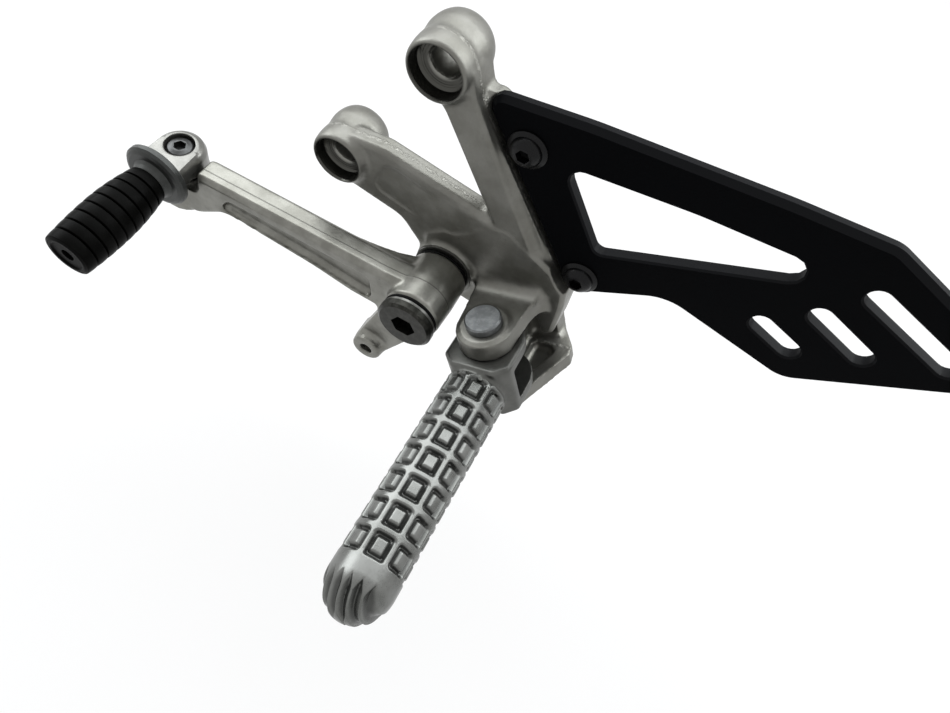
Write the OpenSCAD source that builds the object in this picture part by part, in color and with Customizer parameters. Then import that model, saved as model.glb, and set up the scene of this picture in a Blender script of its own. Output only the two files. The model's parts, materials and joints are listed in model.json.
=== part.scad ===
// Left-hand motorcycle footrest hanger: casting, heel guard, folding footrest and gear lever.
// Frame: X rearward, Y inboard, Z up. The origin is the upper frame bolt, on the face that
// meets the motorcycle's frame. The rider's side is -Y. All sizes are in millimetres.

/* [Frame mounting] */
// Distance forward from the upper frame bolt to the front one
frame_bolt_forward = 30; // [28:0.5:33]
// Distance down from the upper frame bolt to the front one
frame_bolt_drop = 50.5; // [48:0.5:53]
// Clearance hole for a frame bolt
frame_hole_d = 9; // [8.5:0.5:10]
// Counterbore for the head of a frame bolt
counterbore_d = 16; // [15:0.5:16.5]
// Depth of the counterbore
counterbore_depth = 5.5; // [2:0.5:8]
// Length of a frame boss, from the frame to its outboard rim
frame_boss_len = 20; // [18:0.5:24]
// Diameter of a frame boss at its outboard rim
frame_boss_rim_d = 19; // [18.4:0.2:20]
// Diameter of a frame boss at its widest
frame_boss_seat_d = 20.8; // [20:0.2:22]

/* [Arms] */
// Distance from the frame to the outboard face of the arms
arm_face = 18; // [17:0.25:19]
// Thickness of the upper arm
arm_thick = 13; // [10:0.5:14]
// Thickness of the front arm
front_arm_thick = 7.2; // [6:0.2:9]
// Width of the soft bevel along the casting's edges
cast_bevel = 1.2; // [0.4:0.1:1.6]
// Depth of the recess in the front arm
recess_depth = 0.9; // [0.5:0.1:2]

/* [Heel guard] */
// Thickness of the heel guard plate
guard_thick = 4; // [3:0.25:5]
// Distance from the frame to the guard's seat on the casting
guard_seat = 10; // [9:0.5:12]
// Bevel round the guard's outer edge
guard_bevel = 1.6; // [0.6:0.1:2]
// Bevel round the guard's cut-outs
cutout_bevel = 0.6; // [0.2:0.1:0.8]
// Width of the three slots
slot_w = 7.2; // [4:0.2:7.6]
// Thread size of the guard screws
guard_screw_d = 6; // [5:1:6]
// Width across the flange of a guard screw
guard_flange_d = 12.6; // [12:0.2:14]
// Diameter of the casting's bosses under the guard
guard_boss_d = 15; // [13:0.5:16]

/* [Gear lever] */
// Height of the lever pivot below the upper frame bolt
pivot_drop = 76.7; // [75:0.5:79]
// Distance of the lever pivot behind the upper frame bolt
pivot_back = 14.3; // [12:0.5:17]
// Distance from the lever pivot forward to the toe peg
lever_reach = 100.5; // [94:0.5:108]
// Diameter of the lever's pivot boss
lever_boss_d = 20.6; // [19.6:0.2:21.4]
// Length of the lever's pivot boss
lever_boss_len = 23.4; // [20:0.2:24.4]
// Distance from the frame to the casting's lever face
pivot_face = 19.5; // [18.5:0.25:20]
// Diameter of the pivot bolt's shoulder
pivot_shank_d = 12; // [10:0.5:13]
// Thread size of the pivot bolt in the casting
pivot_thread_d = 8; // [6:1:10]
// Thickness of the lever arm, across the motorcycle
lever_thick = 10.5; // [8:0.5:11]
// Height of the lever arm in its middle
lever_height = 14.5; // [13:0.5:16]
// Depth of the recess along the lever arm
lever_recess = 2.6; // [1:0.2:3.4]
// Length of the short arm that drives the gearchange rod
rod_arm_len = 36; // [34:0.5:38]
// Thread size of the gearchange rod's joint
rod_thread_d = 6; // [5:1:6]

/* [Toe peg] */
// Diameter of the toe peg's hub
toe_hub_d = 17.6; // [16:0.2:18.4]
// Height of the toe peg's hub
toe_hub_h = 9; // [8.5:0.5:11]
// Diameter of the toe peg's flange
toe_flange_d = 23.6; // [20:0.2:24.4]
// Diameter of the rubber in its middle
toe_rubber_d = 17.6; // [16.6:0.2:20]
// Length of the rubber
toe_rubber_len = 38; // [34:1:44]
// Number of bands round the rubber
toe_rubber_bands = 9; // [6:1:11]
// Thread size of the toe peg's pivot screw
toe_screw_d = 6; // [5:1:6]

/* [Footrest] */
// Distance of the footrest's axis behind the upper frame bolt
footrest_back = 45.84; // [45:0.02:47]
// Distance of the footrest's axis below the upper frame bolt
footrest_drop = 87.82; // [87:0.02:89]
// Forward tilt of the folding pin from upright
fold_tilt = 23.5; // [22:0.5:25]
// Distance from the frame to the folding pin
pin_out = 36.5; // [36:0.25:38]
// Diameter of the folding pin
pin_d = 8; // [6:0.5:9]
// Diameter of the folding pin's head
pin_head_d = 12.6; // [11:0.2:13]
// Distance from the folding pin to the footrest's tip
footrest_len = 100; // [90:1:110]
// Diameter of the footrest bar
bar_d = 22; // [20:0.2:23]
// Number of rows of pads along the bar
pad_rows = 7; // [5:1:8]
// Number of pads round the bar
pad_columns = 8; // [7:1:8]
// Spacing of the rows
pad_pitch = 9.95; // [9:0.05:10.6]
// Height of the footrest's root between the lugs
root_h = 23.2; // [23:0.2:24.4]
// Width of the footrest's root
root_w = 25; // [24:0.2:26]
// Gap between the footrest's root and each lug
root_clear = 0.3; // [0.2:0.05:0.5]
// Thickness of the upper lug
lug_upper_t = 7; // [6:0.2:9]
// Thickness of the lower lug
lug_lower_t = 6; // [5.6:0.2:8]
// Radius of the lugs' noses
lug_r = 10; // [9:0.25:11]
// Wire of the return spring
spring_wire = 2; // [1.5:0.1:2.2]

/* [Hidden] */
$fn = 64;

// Shared fits
shaft_fit = 0.05;    // radial play of a turning shaft
seat_gap = 0.2;      // gap between parts that turn on each other
joint = 0.1;         // overlap that joins two solids of one casting
reach_through = 1;   // how far a cut runs past the face that it opens

// Places in the X-Z plane
upper_bolt = [0, 0];
front_bolt = [-frame_bolt_forward, -frame_bolt_drop];
pivot = [pivot_back, -pivot_drop];
guard_screws = [[29.2, -14.4], [58.5, -53]];
vee = [24.3, -43];
toe_pin = [pivot[0] - lever_reach, -32];

// Plain vector helpers
function unit(v) = v / norm(v);
function cross2(a, b) = a[0] * b[1] - a[1] * b[0];
function polar(r, a) = r * [cos(a), sin(a)];
function xy(c) = [c[0], c[1]];

// A fillet of radius r at corner p between its neighbours a and b, as n + 1 points
function corner_arc(p, a, b, r, n) =
    let(
        u = unit(a - p),
        v = unit(b - p),
        half = acos(u * v) / 2,
        middle = p + unit(u + v) * r / sin(half),
        from = p + u * r / tan(half) - middle,
        to = p + v * r / tan(half) - middle,
        start = atan2(from[1], from[0]),
        turn = atan2(cross2(from, to), from * to)
    )
    [for (i = [0:n]) middle + polar(r, start + turn * i / n)];

// Turns a list of corners [x, y, radius] into an outline
function outline(c, like) =
    let(n = len(c), sized = is_undef(like) ? c : like)
    [for (i = [0:n - 1]) each corner_arc(
        xy(c[i]), xy(c[(i + n - 1) % n]), xy(c[(i + 1) % n]), c[i][2], arc_steps(sized[i][2])
    )];

// Facets in a fillet of radius r
function arc_steps(r) = r < 1 ? 1 : r < 2.5 ? 3 : r < 6 ? 5 : 7;

// Moves every edge of a counter-clockwise corner list inwards by d, with its fillets
function inset(c, d) =
    let(n = len(c))
    [for (i = [0:n - 1])
        let(
            p = xy(c[i]),
            u = unit(p - xy(c[(i + n - 1) % n])),
            v = unit(xy(c[(i + 1) % n]) - p),
            side = cross2(u, v),
            move = d * ([-u[1], u[0]] + [-v[1], v[0]]) / (1 + u * v)
        )
        [p[0] + move[0], p[1] + move[1], side > 0 ? max(c[i][2] - d, 0.4) : c[i][2] + d]];

// A solid on a corner list: each level is [inset, z], from the lowest to the highest
module stacked(c, levels) {
    rings = [for (level = levels) for (p = outline(inset(c, level[0]), c)) [p[0], p[1], level[1]]];
    high = len(levels) - 1;
    n = len(rings) / len(levels);
    faces = [
        [for (i = [0:n - 1]) i],
        for (k = [0:high - 1]) for (i = [0:n - 1])
            [k * n + i, (k + 1) * n + i, (k + 1) * n + (i + 1) % n, k * n + (i + 1) % n],
        [for (i = [0:n - 1]) (high + 1) * n - 1 - i]
    ];
    polyhedron(rings, faces);
}

// A prism on a corner list from z0 to z1, bevelled by b0 at the bottom and b1 at the top
module bevelled_prism(c, z0, z1, b0, b1) {
    spare = 0.5;
    wide = 1000;
    difference() {
        stacked(c, [[b0 + spare, z0 - spare], [0, z0 + b0], [0, z1 - b1], [b1 + spare, z1 + spare]]);
        for (z = [z0 - wide, z1]) translate([-wide / 2, -wide / 2, z]) cube(wide);
    }
}

// Stands a flat outline up in the X-Z plane, between y0 (outboard) and y1 (inboard)
module upright(y1) {
    translate([0, y1, 0]) rotate([90, 0, 0]) children();
}

module bevelled_plate(c, y0, y1, b_out, b_in) {
    upright(y1) bevelled_prism(c, 0, y1 - y0, b_in, b_out);
}

module plate(y0, y1) {
    upright(y1) linear_extrude(y1 - y0) children();
}

// A solid turned about an axis along Y through at = [x, z]; the profile is [radius, y]
module turned(at, profile) {
    translate([at[0], 0, at[1]]) rotate([-90, 0, 0]) rotate_extrude() polygon(profile);
}

// A round bar or bore along Y
module rod(at, d, y0, y1) {
    translate([at[0], y0, at[1]]) rotate([-90, 0, 0]) cylinder(h = y1 - y0, d = d);
}

// Two circles joined by their outer tangents
module link(a, ra, b, rb) {
    run = b - a;
    lean = acos((ra - rb) / norm(run));
    way = atan2(run[1], run[0]);
    translate(a) circle(ra);
    translate(b) circle(rb);
    polygon([
        a + polar(ra, way + lean), a + polar(ra, way - lean),
        b + polar(rb, way - lean), b + polar(rb, way + lean)
    ]);
}

// A hex socket pointing at -Y
module hex_socket(at, across, y0, depth) {
    translate([at[0], y0 - reach_through, at[1]]) rotate([-90, 0, 0])
        cylinder(h = depth + reach_through, d = across / cos(30), $fn = 6);
}

// The footrest's own frame: x across the fold, y inboard, z along the folding pin
module at_footrest() {
    translate([footrest_back, 0, -footrest_drop]) rotate([0, -fold_tilt, 0]) children();
}

// Casting

lug_top = root_h / 2 + root_clear + lug_upper_t;
lug_bottom = root_h / 2 + root_clear + lug_lower_t;
pad_top = lug_top + 0.7;
boss_bulge = 0.35;
boss_parting = 0.42;
boss_shoulder = 0.36;   // part of a frame boss's length that is rounded off to the frame
boss_drop = 2.6;        // how far that rounding draws in

// A frame boss: a barrel from the rim to its parting line and a wider one to the frame
function barrel(r0, y0, r1, y1, bulge, n = 5) =
    [for (i = [0:n]) let(t = i / n) [r0 + (r1 - r0) * t + 4 * bulge * t * (1 - t), y0 + (y1 - y0) * t]];

module frame_boss(at) {
    rim = frame_boss_rim_d / 2;
    seat = frame_boss_seat_d / 2;
    parting = -frame_boss_len * (1 - boss_parting);
    shoulder = frame_boss_len * boss_shoulder;
    turned(at, concat(
        [[0, -frame_boss_len], [rim - 0.7, -frame_boss_len]],
        barrel(rim, -frame_boss_len + 0.7, (rim + seat) / 2 - 0.2, parting, boss_bulge),
        [for (i = [0:5]) [seat - boss_drop * (1 - cos(15 * i)) / (1 - cos(75)), -shoulder * (1 - sin(15 * i) / sin(75))]],
        [[0, 0]]
    ));
}

module frame_bores(at) {
    rod(at, frame_hole_d, -frame_boss_len - reach_through, reach_through);
    rod(at, counterbore_d, -frame_boss_len - reach_through, -frame_boss_len + counterbore_depth);
}

// Corner lists [x, z, fillet], counter-clockwise as seen from the rider's side
upper_arm = [
    [-8.2, -1.5, 2], [3.6, -12.6, 6], [vee[0], vee[1], 30], [33, -56, 3], [50, -60, 4],
    [30.3, -31.7, 30], [12.6, -4.8, 12], [9.4, 4, 3], [0, 6, 3]
];
front_arm = [
    [-31, -60.2, 5], [-6, -64.6, 8], [1.2, -72, 20], [10, -84, 6], [30, -88.5, 3],
    [46, -58, 4], [31, -46, 12], [vee[0] + 2, vee[1] - 1.6, 12], [-15, -38.8, 12], [-31, -40.8, 5]
];
shield = [
    [4, -78, 4], [12, -88, 6], [27, -90, 2.6], [44, -88, 4], [59, -84.6, 3.4],
    [58.4, -67.7, 10], [56.4, -56, 5], [31, -44, 5], [18, -52, 4], [4, -64, 5]
];
guard_room = 0.4;   // room round the guard's edge where it meets the casting
guard_ledge = [
    [10, -12, 4], [42, -59, 3], [54, -64, 6], [65.5, -56, 6], [62, -46.5, 5],
    [47, -38, 12], [36, -20, 7], [33, -8, 6], [23, -8, 6], [14, -2, 4]
];
recess = [[-19, -57, 5], [-2, -60.6, 12], [15, -59, 9], [25.4, -49.6, 3], [-14, -42.2, 6]];
flank_drop = 2.4;   // how far the flank beside the guard lies below the arm's face
guard_boss_end = -5;
arm_flank = [
    [7, -12, 5], [24, -38, 20], [30, -56, 4], [54, -62, 5], [40, -37, 20], [17, -9, 12], [12, -3.4, 3]
];

module hanger_arms() {
    front_face = -arm_face + 0.5;
    bevelled_plate(upper_arm, -arm_face, -arm_face + arm_thick, cast_bevel, 0.6);
    bevelled_plate(arm_flank, -arm_face + flank_drop, -guard_seat + 3, 1.8, 0.6);
    bevelled_plate(front_arm, front_face, front_face + front_arm_thick, cast_bevel, 0.6);
    bevelled_plate(shield, -arm_face - 0.3, -3, cast_bevel, 1.5);
    bevelled_plate(guard_ledge, -guard_seat - 1, guard_boss_end - 0.5, 0.5, 1);
}

// The upper lug: its nose round the pin, and its sides flaring into the body
module lug_outline() {
    nose = [0, -pin_out];
    translate(nose) circle(lug_r);
    polygon([
        nose + [-lug_r, 0], nose + [lug_r, 0], [10.5, -27], [10.9, -23.6], [12, -20.8], [14, -18.9],
        [14, -13.6], [-12.6, -14]
    ]);
}

// A hollow fillet of radius r along x, between a lug's top at z and the body's face at y
module lug_fillet(x0, x1, y, z, r) {
    arc = [for (i = [0:5]) [y - r + r * sin(18 * i), z + r - r * cos(18 * i)]];
    translate([x0, 0, 0]) rotate([90, 0, 90]) linear_extrude(x1 - x0)
        polygon(concat([[y - r, z - 1]], arc, [[y + 1.4, z + r], [y + 1.4, z - 1]]));
}

// The hollow behind the footrest's heel, arched at its top, where the return spring's leg rests
module heel_arch() {
    r = (arch_x[1] - arch_x[0]) / 2;
    translate([0, -arch_floor, 0]) rotate([90, 0, 0]) linear_extrude(pin_out - arch_floor) {
        translate([arch_x[0] + r, arch_top - r]) circle(r, $fn = 32);
        translate([arch_x[0], 0.5 - root_h / 2 - root_clear]) square([2 * r, arch_top - r + root_h / 2 + root_clear - 0.5]);
    }
}

arch_x = [1.8, 9.6];
arch_top = 7.8;
arch_floor = 12;

// The fork: upper and lower lugs and the wall behind them, in the footrest's frame
module fork() {
    web = -pin_out + root_w / 2 + root_clear;
    upper_z = root_h / 2 + root_clear;
    at_footrest() {
        translate([0, 0, upper_z]) linear_extrude(lug_upper_t) lug_outline();
        lug_fillet(-11.6, 12.2, -arm_face - 0.3, lug_top, 5);
        translate([0, -pin_out, upper_z]) cylinder(h = pad_top - upper_z, d = pin_head_d + 4.4);
        translate([0, 0, -lug_bottom]) linear_extrude(lug_lower_t)
            polygon(concat(
                [for (i = [0:8]) [0, -pin_out] + polar(lug_r, 170 + 150 * i / 8)],
                [[19, -16.5], [18.2, -12], [10, -0.8], [-13, -4]]
            ));
        translate([-13, web, -lug_bottom]) cube([14, -2 - web, lug_bottom + upper_z + joint]);
        translate([0, -9, -lug_bottom]) cube([11.6, 7, lug_bottom + upper_z + joint]);
    }
}

// The pocket in the lower lug's top
module lug_pocket() {
    translate([0, 0, -lug_bottom + lug_lower_t - 3]) linear_extrude(4)
        polygon([[3.4, -27.4], [9.4, -27.4], [13.2, -16.6], [10.4, -14.2], [3.4, -14.2]]);
}

module hanger() {
    color([0.60, 0.60, 0.57]) difference() {
        union() {
            hanger_arms();
            frame_boss(upper_bolt);
            frame_boss(front_bolt);
            rod(pivot, lever_boss_d + 1.8, -pivot_face, -4);
            for (s = guard_screws) rod(s, guard_boss_d, -guard_seat - 1, guard_boss_end);
            fork();
        }
        bevelled_plate(recess, -arm_face - reach_through, -arm_face + recess_depth, 0.5, 1);
        plate(-arm_face - 4, -guard_seat) polygon(outline(inset(guard_outer, -guard_room)));
        frame_bores(upper_bolt);
        frame_bores(front_bolt);
        rod(pivot, pivot_thread_d, -pivot_face - reach_through, -5);
        for (s = guard_screws) rod(s, guard_screw_d, -guard_seat - 3, -1);
        at_footrest() {
            translate([0, -pin_out, -lug_bottom - 10]) cylinder(h = 60, d = pin_d);
            heel_arch();
            lug_pocket();
        }
    }
}

// Heel guard

guard_outer = [
    [57.5, -63, 7.2], [85.5, -44.2, 14], [128.9, -52.7, 11], [183.3, -11.9, 11], [125.5, 10.1, 10],
    [98.8, 8.2, 150], [44.5, 2.3, 150], [11.3, -2.9, 4.5]
];
guard_window = [[59.6, -40.4, 3], [131.5, -4.2, 4.8], [80, -8.3, 120], [40.3, -14.1, 4]];
guard_slots = [[[112.9, -34.6], [123.8, -38.7]], [[123.8, -21.3], [140, -27.7]], [[131.2, -6.8], [158.5, -16.7]]];

// Corners of a round-ended slot
function slot_corners(ends, r) =
    let(u = unit(ends[1] - ends[0]) * r, v = [-u[1], u[0]], round = r * 0.98)
    [for (p = [ends[0] - u - v, ends[1] + u - v, ends[1] + u + v, ends[0] - u + v]) [p[0], p[1], round]];

// A cut through the guard with a bevel at its outboard face
module guard_cut(c) {
    upright(-guard_seat + 1) stacked(c, [
        [0, 0], [0, guard_thick + 1 - cutout_bevel], [-cutout_bevel - 1, guard_thick + 2]
    ]);
}

module heel_guard() {
    outer = -guard_seat - guard_thick;
    color([0.07, 0.07, 0.08]) difference() {
        bevelled_plate(guard_outer, outer, -guard_seat, guard_bevel, 0.4);
        guard_cut(guard_window);
        for (s = guard_slots) guard_cut(slot_corners(s, slot_w / 2));
        for (s = guard_screws) rod(s, guard_screw_d + 0.6, outer - 1, -guard_seat + 1);
    }
}

module guard_screw(at) {
    face = -guard_seat - guard_thick;
    flange_r = guard_flange_d / 2;
    head_r = flange_r - 1.3;
    color([0.10, 0.10, 0.11]) difference() {
        union() {
            turned(at, concat(
                [[0, face - 4.2], [2.6, face - 4.2]],
                [for (i = [0:6]) [2.6 + (head_r - 2.6) * sin(15 * i), face - 1.2 - 3 * cos(15 * i)]],
                [[head_r, face - 1], [flange_r, face - 0.7], [flange_r, face], [0, face]]
            ));
            rod(at, guard_screw_d, face - 0.1, guard_boss_end - 0.5);
        }
        hex_socket(at, 4, face - 4.2, 3);
    }
}

module guard_screw_upper() { guard_screw(guard_screws[0]); }
module guard_screw_lower() { guard_screw(guard_screws[1]); }

// Gear lever

washer_t = 0.9;
seal_t = 1.4;
lever_y1 = -pivot_face - washer_t - seat_gap;
lever_y0 = lever_y1 - lever_boss_len;
bolt_seat = lever_y0 - seat_gap - washer_t;
bolt_head_t = 3.2;
arm_mid = -34;
arm_y0 = arm_mid - lever_thick / 2;
arm_y1 = arm_mid + lever_thick / 2;
arm_top = pivot[1] + 7.4;
arm_low = arm_top - lever_height;
toe_gap_z = -76.6;
toe_lug_d = 18;
toe_lug_z = toe_gap_z - 0.9;
bush_d = pivot_shank_d + 3;
rod_joint = pivot + polar(rod_arm_len, -114);
rod_arm_y = [lever_y0 + seal_t + 0.4, -35.5];

toe_room = toe_hub_d / 2 + 1.2;   // from the toe peg's pin to the end of the arm

lever_outline = [
    [pivot[0] - 9, pivot[1] - 13, 6], [pivot[0] + 6, pivot[1] - 6, 4], [pivot[0] + 4, pivot[1] + 8.5, 4],
    [pivot[0] - 3, pivot[1] + 8.5, 5], [pivot[0] - 14, arm_top, 14], [toe_pin[0] + toe_room + 1.2, arm_top - 0.4, 1.8],
    [toe_pin[0] + toe_room, toe_lug_z - 0.3, 1.6], [toe_pin[0], toe_lug_z - 0.3, 2], [toe_pin[0], toe_lug_z - 13.8, 3],
    [toe_pin[0] + 9, toe_lug_z - 14.6, 7], [toe_pin[0] + 22, arm_low + 0.6, 12], [pivot[0] - 42, arm_low - 2.4, 60],
    [pivot[0] - 26, pivot[1] - 12.4, 12]
];
lever_pocket = [
    [toe_pin[0] + 20, arm_low + 2.4, 2], [pivot[0] - 42, arm_low, 30], [pivot[0] - 17, pivot[1] - 10.4, 3],
    [pivot[0] - 19, arm_top - 5.4, 3], [toe_pin[0] + 24, arm_top - 5, 4]
];

module lever_boss() {
    r = lever_boss_d / 2;
    seal_r = r - 1.2;
    turned(pivot, [
        [0, lever_y0], [seal_r, lever_y0], [seal_r, lever_y0 + seal_t], [r - 0.6, lever_y0 + seal_t],
        [r, lever_y0 + seal_t + 0.6], [r + 0.25, (lever_y0 + lever_y1) / 2], [r, lever_y1 - seal_t - 0.6],
        [r - 0.6, lever_y1 - seal_t], [seal_r, lever_y1 - seal_t], [seal_r, lever_y1], [0, lever_y1]
    ]);
}

// The arm's inboard side, curving out into the boss
module arm_flare() {
    run = 24;
    reach = lever_y1 - arm_y1 - 2.4;
    translate([pivot[0], 0, pivot[1] - 7]) linear_extrude(arm_top - pivot[1] + 6.4)
        polygon(concat(
            [[0, arm_mid], [-8 - run, arm_mid], [-8 - run, arm_y1 - 0.7]],
            [for (i = [1:6]) [-8 - run * cos(15 * i), arm_y1 - 0.7 + (reach + 0.7) * (1 - sqrt(1 - pow(i / 6.2, 2)))]],
            [[0, arm_y1 + reach * 0.98]]
        ));
}

module gear_lever() {
    color([0.72, 0.72, 0.70]) difference() {
        union() {
            lever_boss();
            bevelled_plate(lever_outline, arm_y0, arm_y1, 1.8, 1.3);
            arm_flare();
            translate([toe_pin[0], toe_pin[1], toe_lug_z - 14.5]) cylinder(h = 14.5, d = toe_lug_d);
            plate(rod_arm_y[0], rod_arm_y[1]) link(pivot + polar(2, -114), 8.6, rod_joint, 6);
            turned(rod_joint, [[0, -45.5], [5.2, -45.5], [5.8, -44.9], [6.2, -42], [6.2, -34.5], [5.7, -34], [0, -34]]);
        }
        bevelled_plate(lever_pocket, arm_y0 - 1, arm_y0 + lever_recess, 0.5, 1);
        rod(pivot, bush_d, lever_y0 - 1, lever_y1 + 1);
        rod(rod_joint, rod_thread_d - 1, -47, -32);
        translate([toe_pin[0], toe_pin[1], toe_lug_z - 20]) cylinder(h = 30, d = toe_screw_d);
        translate([toe_pin[0] + detent_r, toe_pin[1], toe_lug_z - detent_depth]) cylinder(h = 20, d = detent_hole_d);
    }
}

module lever_bush() {
    color([0.55, 0.47, 0.30]) difference() {
        rod(pivot, bush_d, lever_y0 + 0.2, lever_y1 - 0.2);
        rod(pivot, pivot_shank_d + 2 * shaft_fit, lever_y0 - 1, lever_y1 + 1);
    }
}

module lever_seal(y0) {
    r = lever_boss_d / 2 - seal_t / 2 - 0.2;
    color([0.05, 0.05, 0.05]) difference() {
        turned(pivot, [
            for (i = [0:15]) [r + (seal_t / 2 - 0.1) * cos(i * 22.5), y0 + seal_t / 2 + (seal_t / 2 - 0.1) * sin(i * 22.5)]
        ]);
        rod(pivot, 2 * (lever_boss_d / 2 - 1.2 + 0.1), lever_y0 - 5, lever_y1 + 5);
    }
}

module lever_outer_seal() { lever_seal(lever_y0); }
module lever_inner_seal() { lever_seal(lever_y1 - seal_t); }

module pivot_washer(d, y0) {
    color([0.45, 0.45, 0.44]) difference() {
        rod(pivot, d, y0, y0 + washer_t);
        rod(pivot, pivot_shank_d + 0.3, y0 - 1, y0 + washer_t + 1);
    }
}

module lever_outer_washer() { pivot_washer(lever_boss_d - 0.8, bolt_seat); }
module lever_inner_washer() { pivot_washer(lever_boss_d + 1, -pivot_face - washer_t); }

module lever_pivot_bolt() {
    head_r = lever_boss_d / 2 - 0.1;
    face = bolt_seat - bolt_head_t;
    color([0.22, 0.22, 0.21]) difference() {
        union() {
            turned(pivot, [
                [0, face], [head_r - 1.1, face], [head_r, face + 0.9], [head_r, bolt_seat - 0.2],
                [head_r - 0.2, bolt_seat], [0, bolt_seat]
            ]);
            rod(pivot, pivot_shank_d, bolt_seat - joint, -pivot_face);
            rod(pivot, pivot_thread_d, -pivot_face - joint, -6);
        }
        hex_socket(pivot, 8, face, 4.5);
    }
}

// Toe peg

toe_axis_z = toe_gap_z + toe_hub_h / 2;
toe_flange_y = toe_pin[1] - toe_hub_d / 2 - 2.6;
toe_flange_t = 3.4;
toe_neck = 2.4;
toe_end_depth = 4.2;   // from the rubber's end to the end of the core
toe_core_d = 9;
toe_end_head_r = 3.4;
toe_end_thread = 4;
rubber_y1 = toe_flange_y - toe_flange_t - toe_neck;
rubber_y0 = rubber_y1 - toe_rubber_len;
detent_r = 5.6;
detent_ball_d = 3;
detent_hole_d = detent_ball_d + 0.2;
detent_depth = 8;
toe_head_z = toe_gap_z + toe_hub_h - 0.6;
toe_head_t = 3.2;
toe_head_r = 5;

module toe_hub() {
    at = [toe_pin[0], toe_axis_z];
    r = toe_hub_d / 2;
    color([0.66, 0.66, 0.64]) difference() {
        union() {
            translate([toe_pin[0], toe_pin[1], 0]) rotate_extrude() polygon([
                [0, toe_gap_z], [r - 0.3, toe_gap_z], [r, toe_gap_z + 0.3], [r, toe_gap_z + toe_hub_h - 3.4],
                [r - 0.7, toe_gap_z + toe_hub_h - 1.4], [r - 2.2, toe_gap_z + toe_hub_h - 0.2],
                [r - 3, toe_gap_z + toe_hub_h], [0, toe_gap_z + toe_hub_h]
            ]);
            intersection() {
                turned(at, [[0, toe_flange_y], [8.8, toe_flange_y], [8.4, toe_pin[1]], [0, toe_pin[1]]]);
                translate([toe_pin[0] - 12, toe_flange_y - 1, toe_gap_z]) cube([24, 20, toe_hub_h + 0.01]);
            }
            rod(at, toe_core_d, rubber_y0 + toe_end_depth, toe_flange_y + joint);
        }
        translate([toe_pin[0], toe_pin[1], toe_gap_z - 5]) cylinder(h = 30, d = toe_screw_d + 2 * shaft_fit);
        translate([toe_pin[0], toe_pin[1], toe_head_z - toe_head_t]) cylinder(h = 10, d = 2 * toe_head_r + 0.6);
        translate([toe_pin[0], toe_pin[1], toe_gap_z - 0.2]) rotate_extrude()
            translate([detent_r, 0]) circle(d = detent_ball_d + 0.3, $fn = 24);
        rod(at, toe_end_thread, rubber_y0, rubber_y0 + toe_end_depth + 12);
    }
}

module toe_flange() {
    at = [toe_pin[0], toe_axis_z];
    r = toe_flange_d / 2;
    y0 = toe_flange_y - toe_flange_t;
    color([0.30, 0.31, 0.30]) difference() {
        turned(at, [
            [0, y0 - toe_neck], [6.4, y0 - toe_neck], [7, y0 - toe_neck / 2], [7.8, y0], [r - 2, y0], [r - 0.8, y0 + 0.5], [r, y0 + 1.3], [r, toe_flange_y - 0.5],
            [r - 0.5, toe_flange_y], [0, toe_flange_y]
        ]);
        rod(at, toe_core_d + 2 * shaft_fit, y0 - toe_neck - 1, toe_flange_y + 1);
    }
}

// Radius of the rubber at u, from 0 at the flange to 1 at the tip
function rubber_r(u) = toe_rubber_d / 2 - 2.2 * pow(abs(u - 0.52) / 0.52, 2.2) * (u < 0.52 ? 1 : 0.5);

module toe_rubber() {
    at = [toe_pin[0], toe_axis_z];
    band = toe_rubber_len / toe_rubber_bands;
    groove = 0.7;
    profile = [for (i = [0:toe_rubber_bands - 1]) each
        let(
            y = rubber_y1 - i * band,
            a = rubber_r(i / toe_rubber_bands),
            m = rubber_r((i + 0.5) / toe_rubber_bands),
            b = rubber_r((i + 1) / toe_rubber_bands)
        )
        [[a - 0.9, y], [a - 0.05, y - groove / 2], [m + 0.2, y - band / 2], [b - 0.05, y - band + groove / 2],
            [b - 0.9, y - band]]];
    color([0.06, 0.06, 0.06]) difference() {
        turned(at, concat([[0, rubber_y1]], profile, [[5.4, rubber_y0], [5, rubber_y0 + 0.5], [0, rubber_y0 + 0.5]]));
        rod(at, toe_core_d + 2 * shaft_fit, rubber_y0 + toe_end_depth, rubber_y1 + 1);
        rod(at, 2 * toe_end_head_r + 0.6, rubber_y0 - 1, rubber_y0 + toe_end_depth + 1);
    }
}

module toe_end_screw() {
    at = [toe_pin[0], toe_axis_z];
    face = rubber_y0 + toe_end_depth - 2.4;
    color([0.45, 0.45, 0.44]) difference() {
        union() {
            turned(at, [
                [0, face], [toe_end_head_r - 0.5, face], [toe_end_head_r, face + 0.5],
                [toe_end_head_r, rubber_y0 + toe_end_depth], [0, rubber_y0 + toe_end_depth]
            ]);
            rod(at, toe_end_thread, rubber_y0 + toe_end_depth - joint, rubber_y0 + toe_end_depth + 11);
        }
        hex_socket(at, 3, face, 2);
    }
}

module toe_pivot_screw() {
    head_r = toe_head_r;
    color([0.50, 0.51, 0.52]) translate([toe_pin[0], toe_pin[1], 0]) difference() {
        union() {
            rotate_extrude() polygon([
                [0, toe_head_z - toe_head_t + 0.1], [head_r, toe_head_z - toe_head_t + 0.1], [head_r, toe_head_z - 1.4],
                [head_r - 0.9, toe_head_z - 0.4], [head_r - 2.4, toe_head_z], [0, toe_head_z]
            ]);
            translate([0, 0, toe_lug_z - 13]) cylinder(h = toe_head_z - toe_lug_z + 12, d = toe_screw_d);
        }
        translate([0, 0, toe_head_z - 2.2]) cylinder(h = 5, d = 4 / cos(30), $fn = 6);
    }
}

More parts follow.
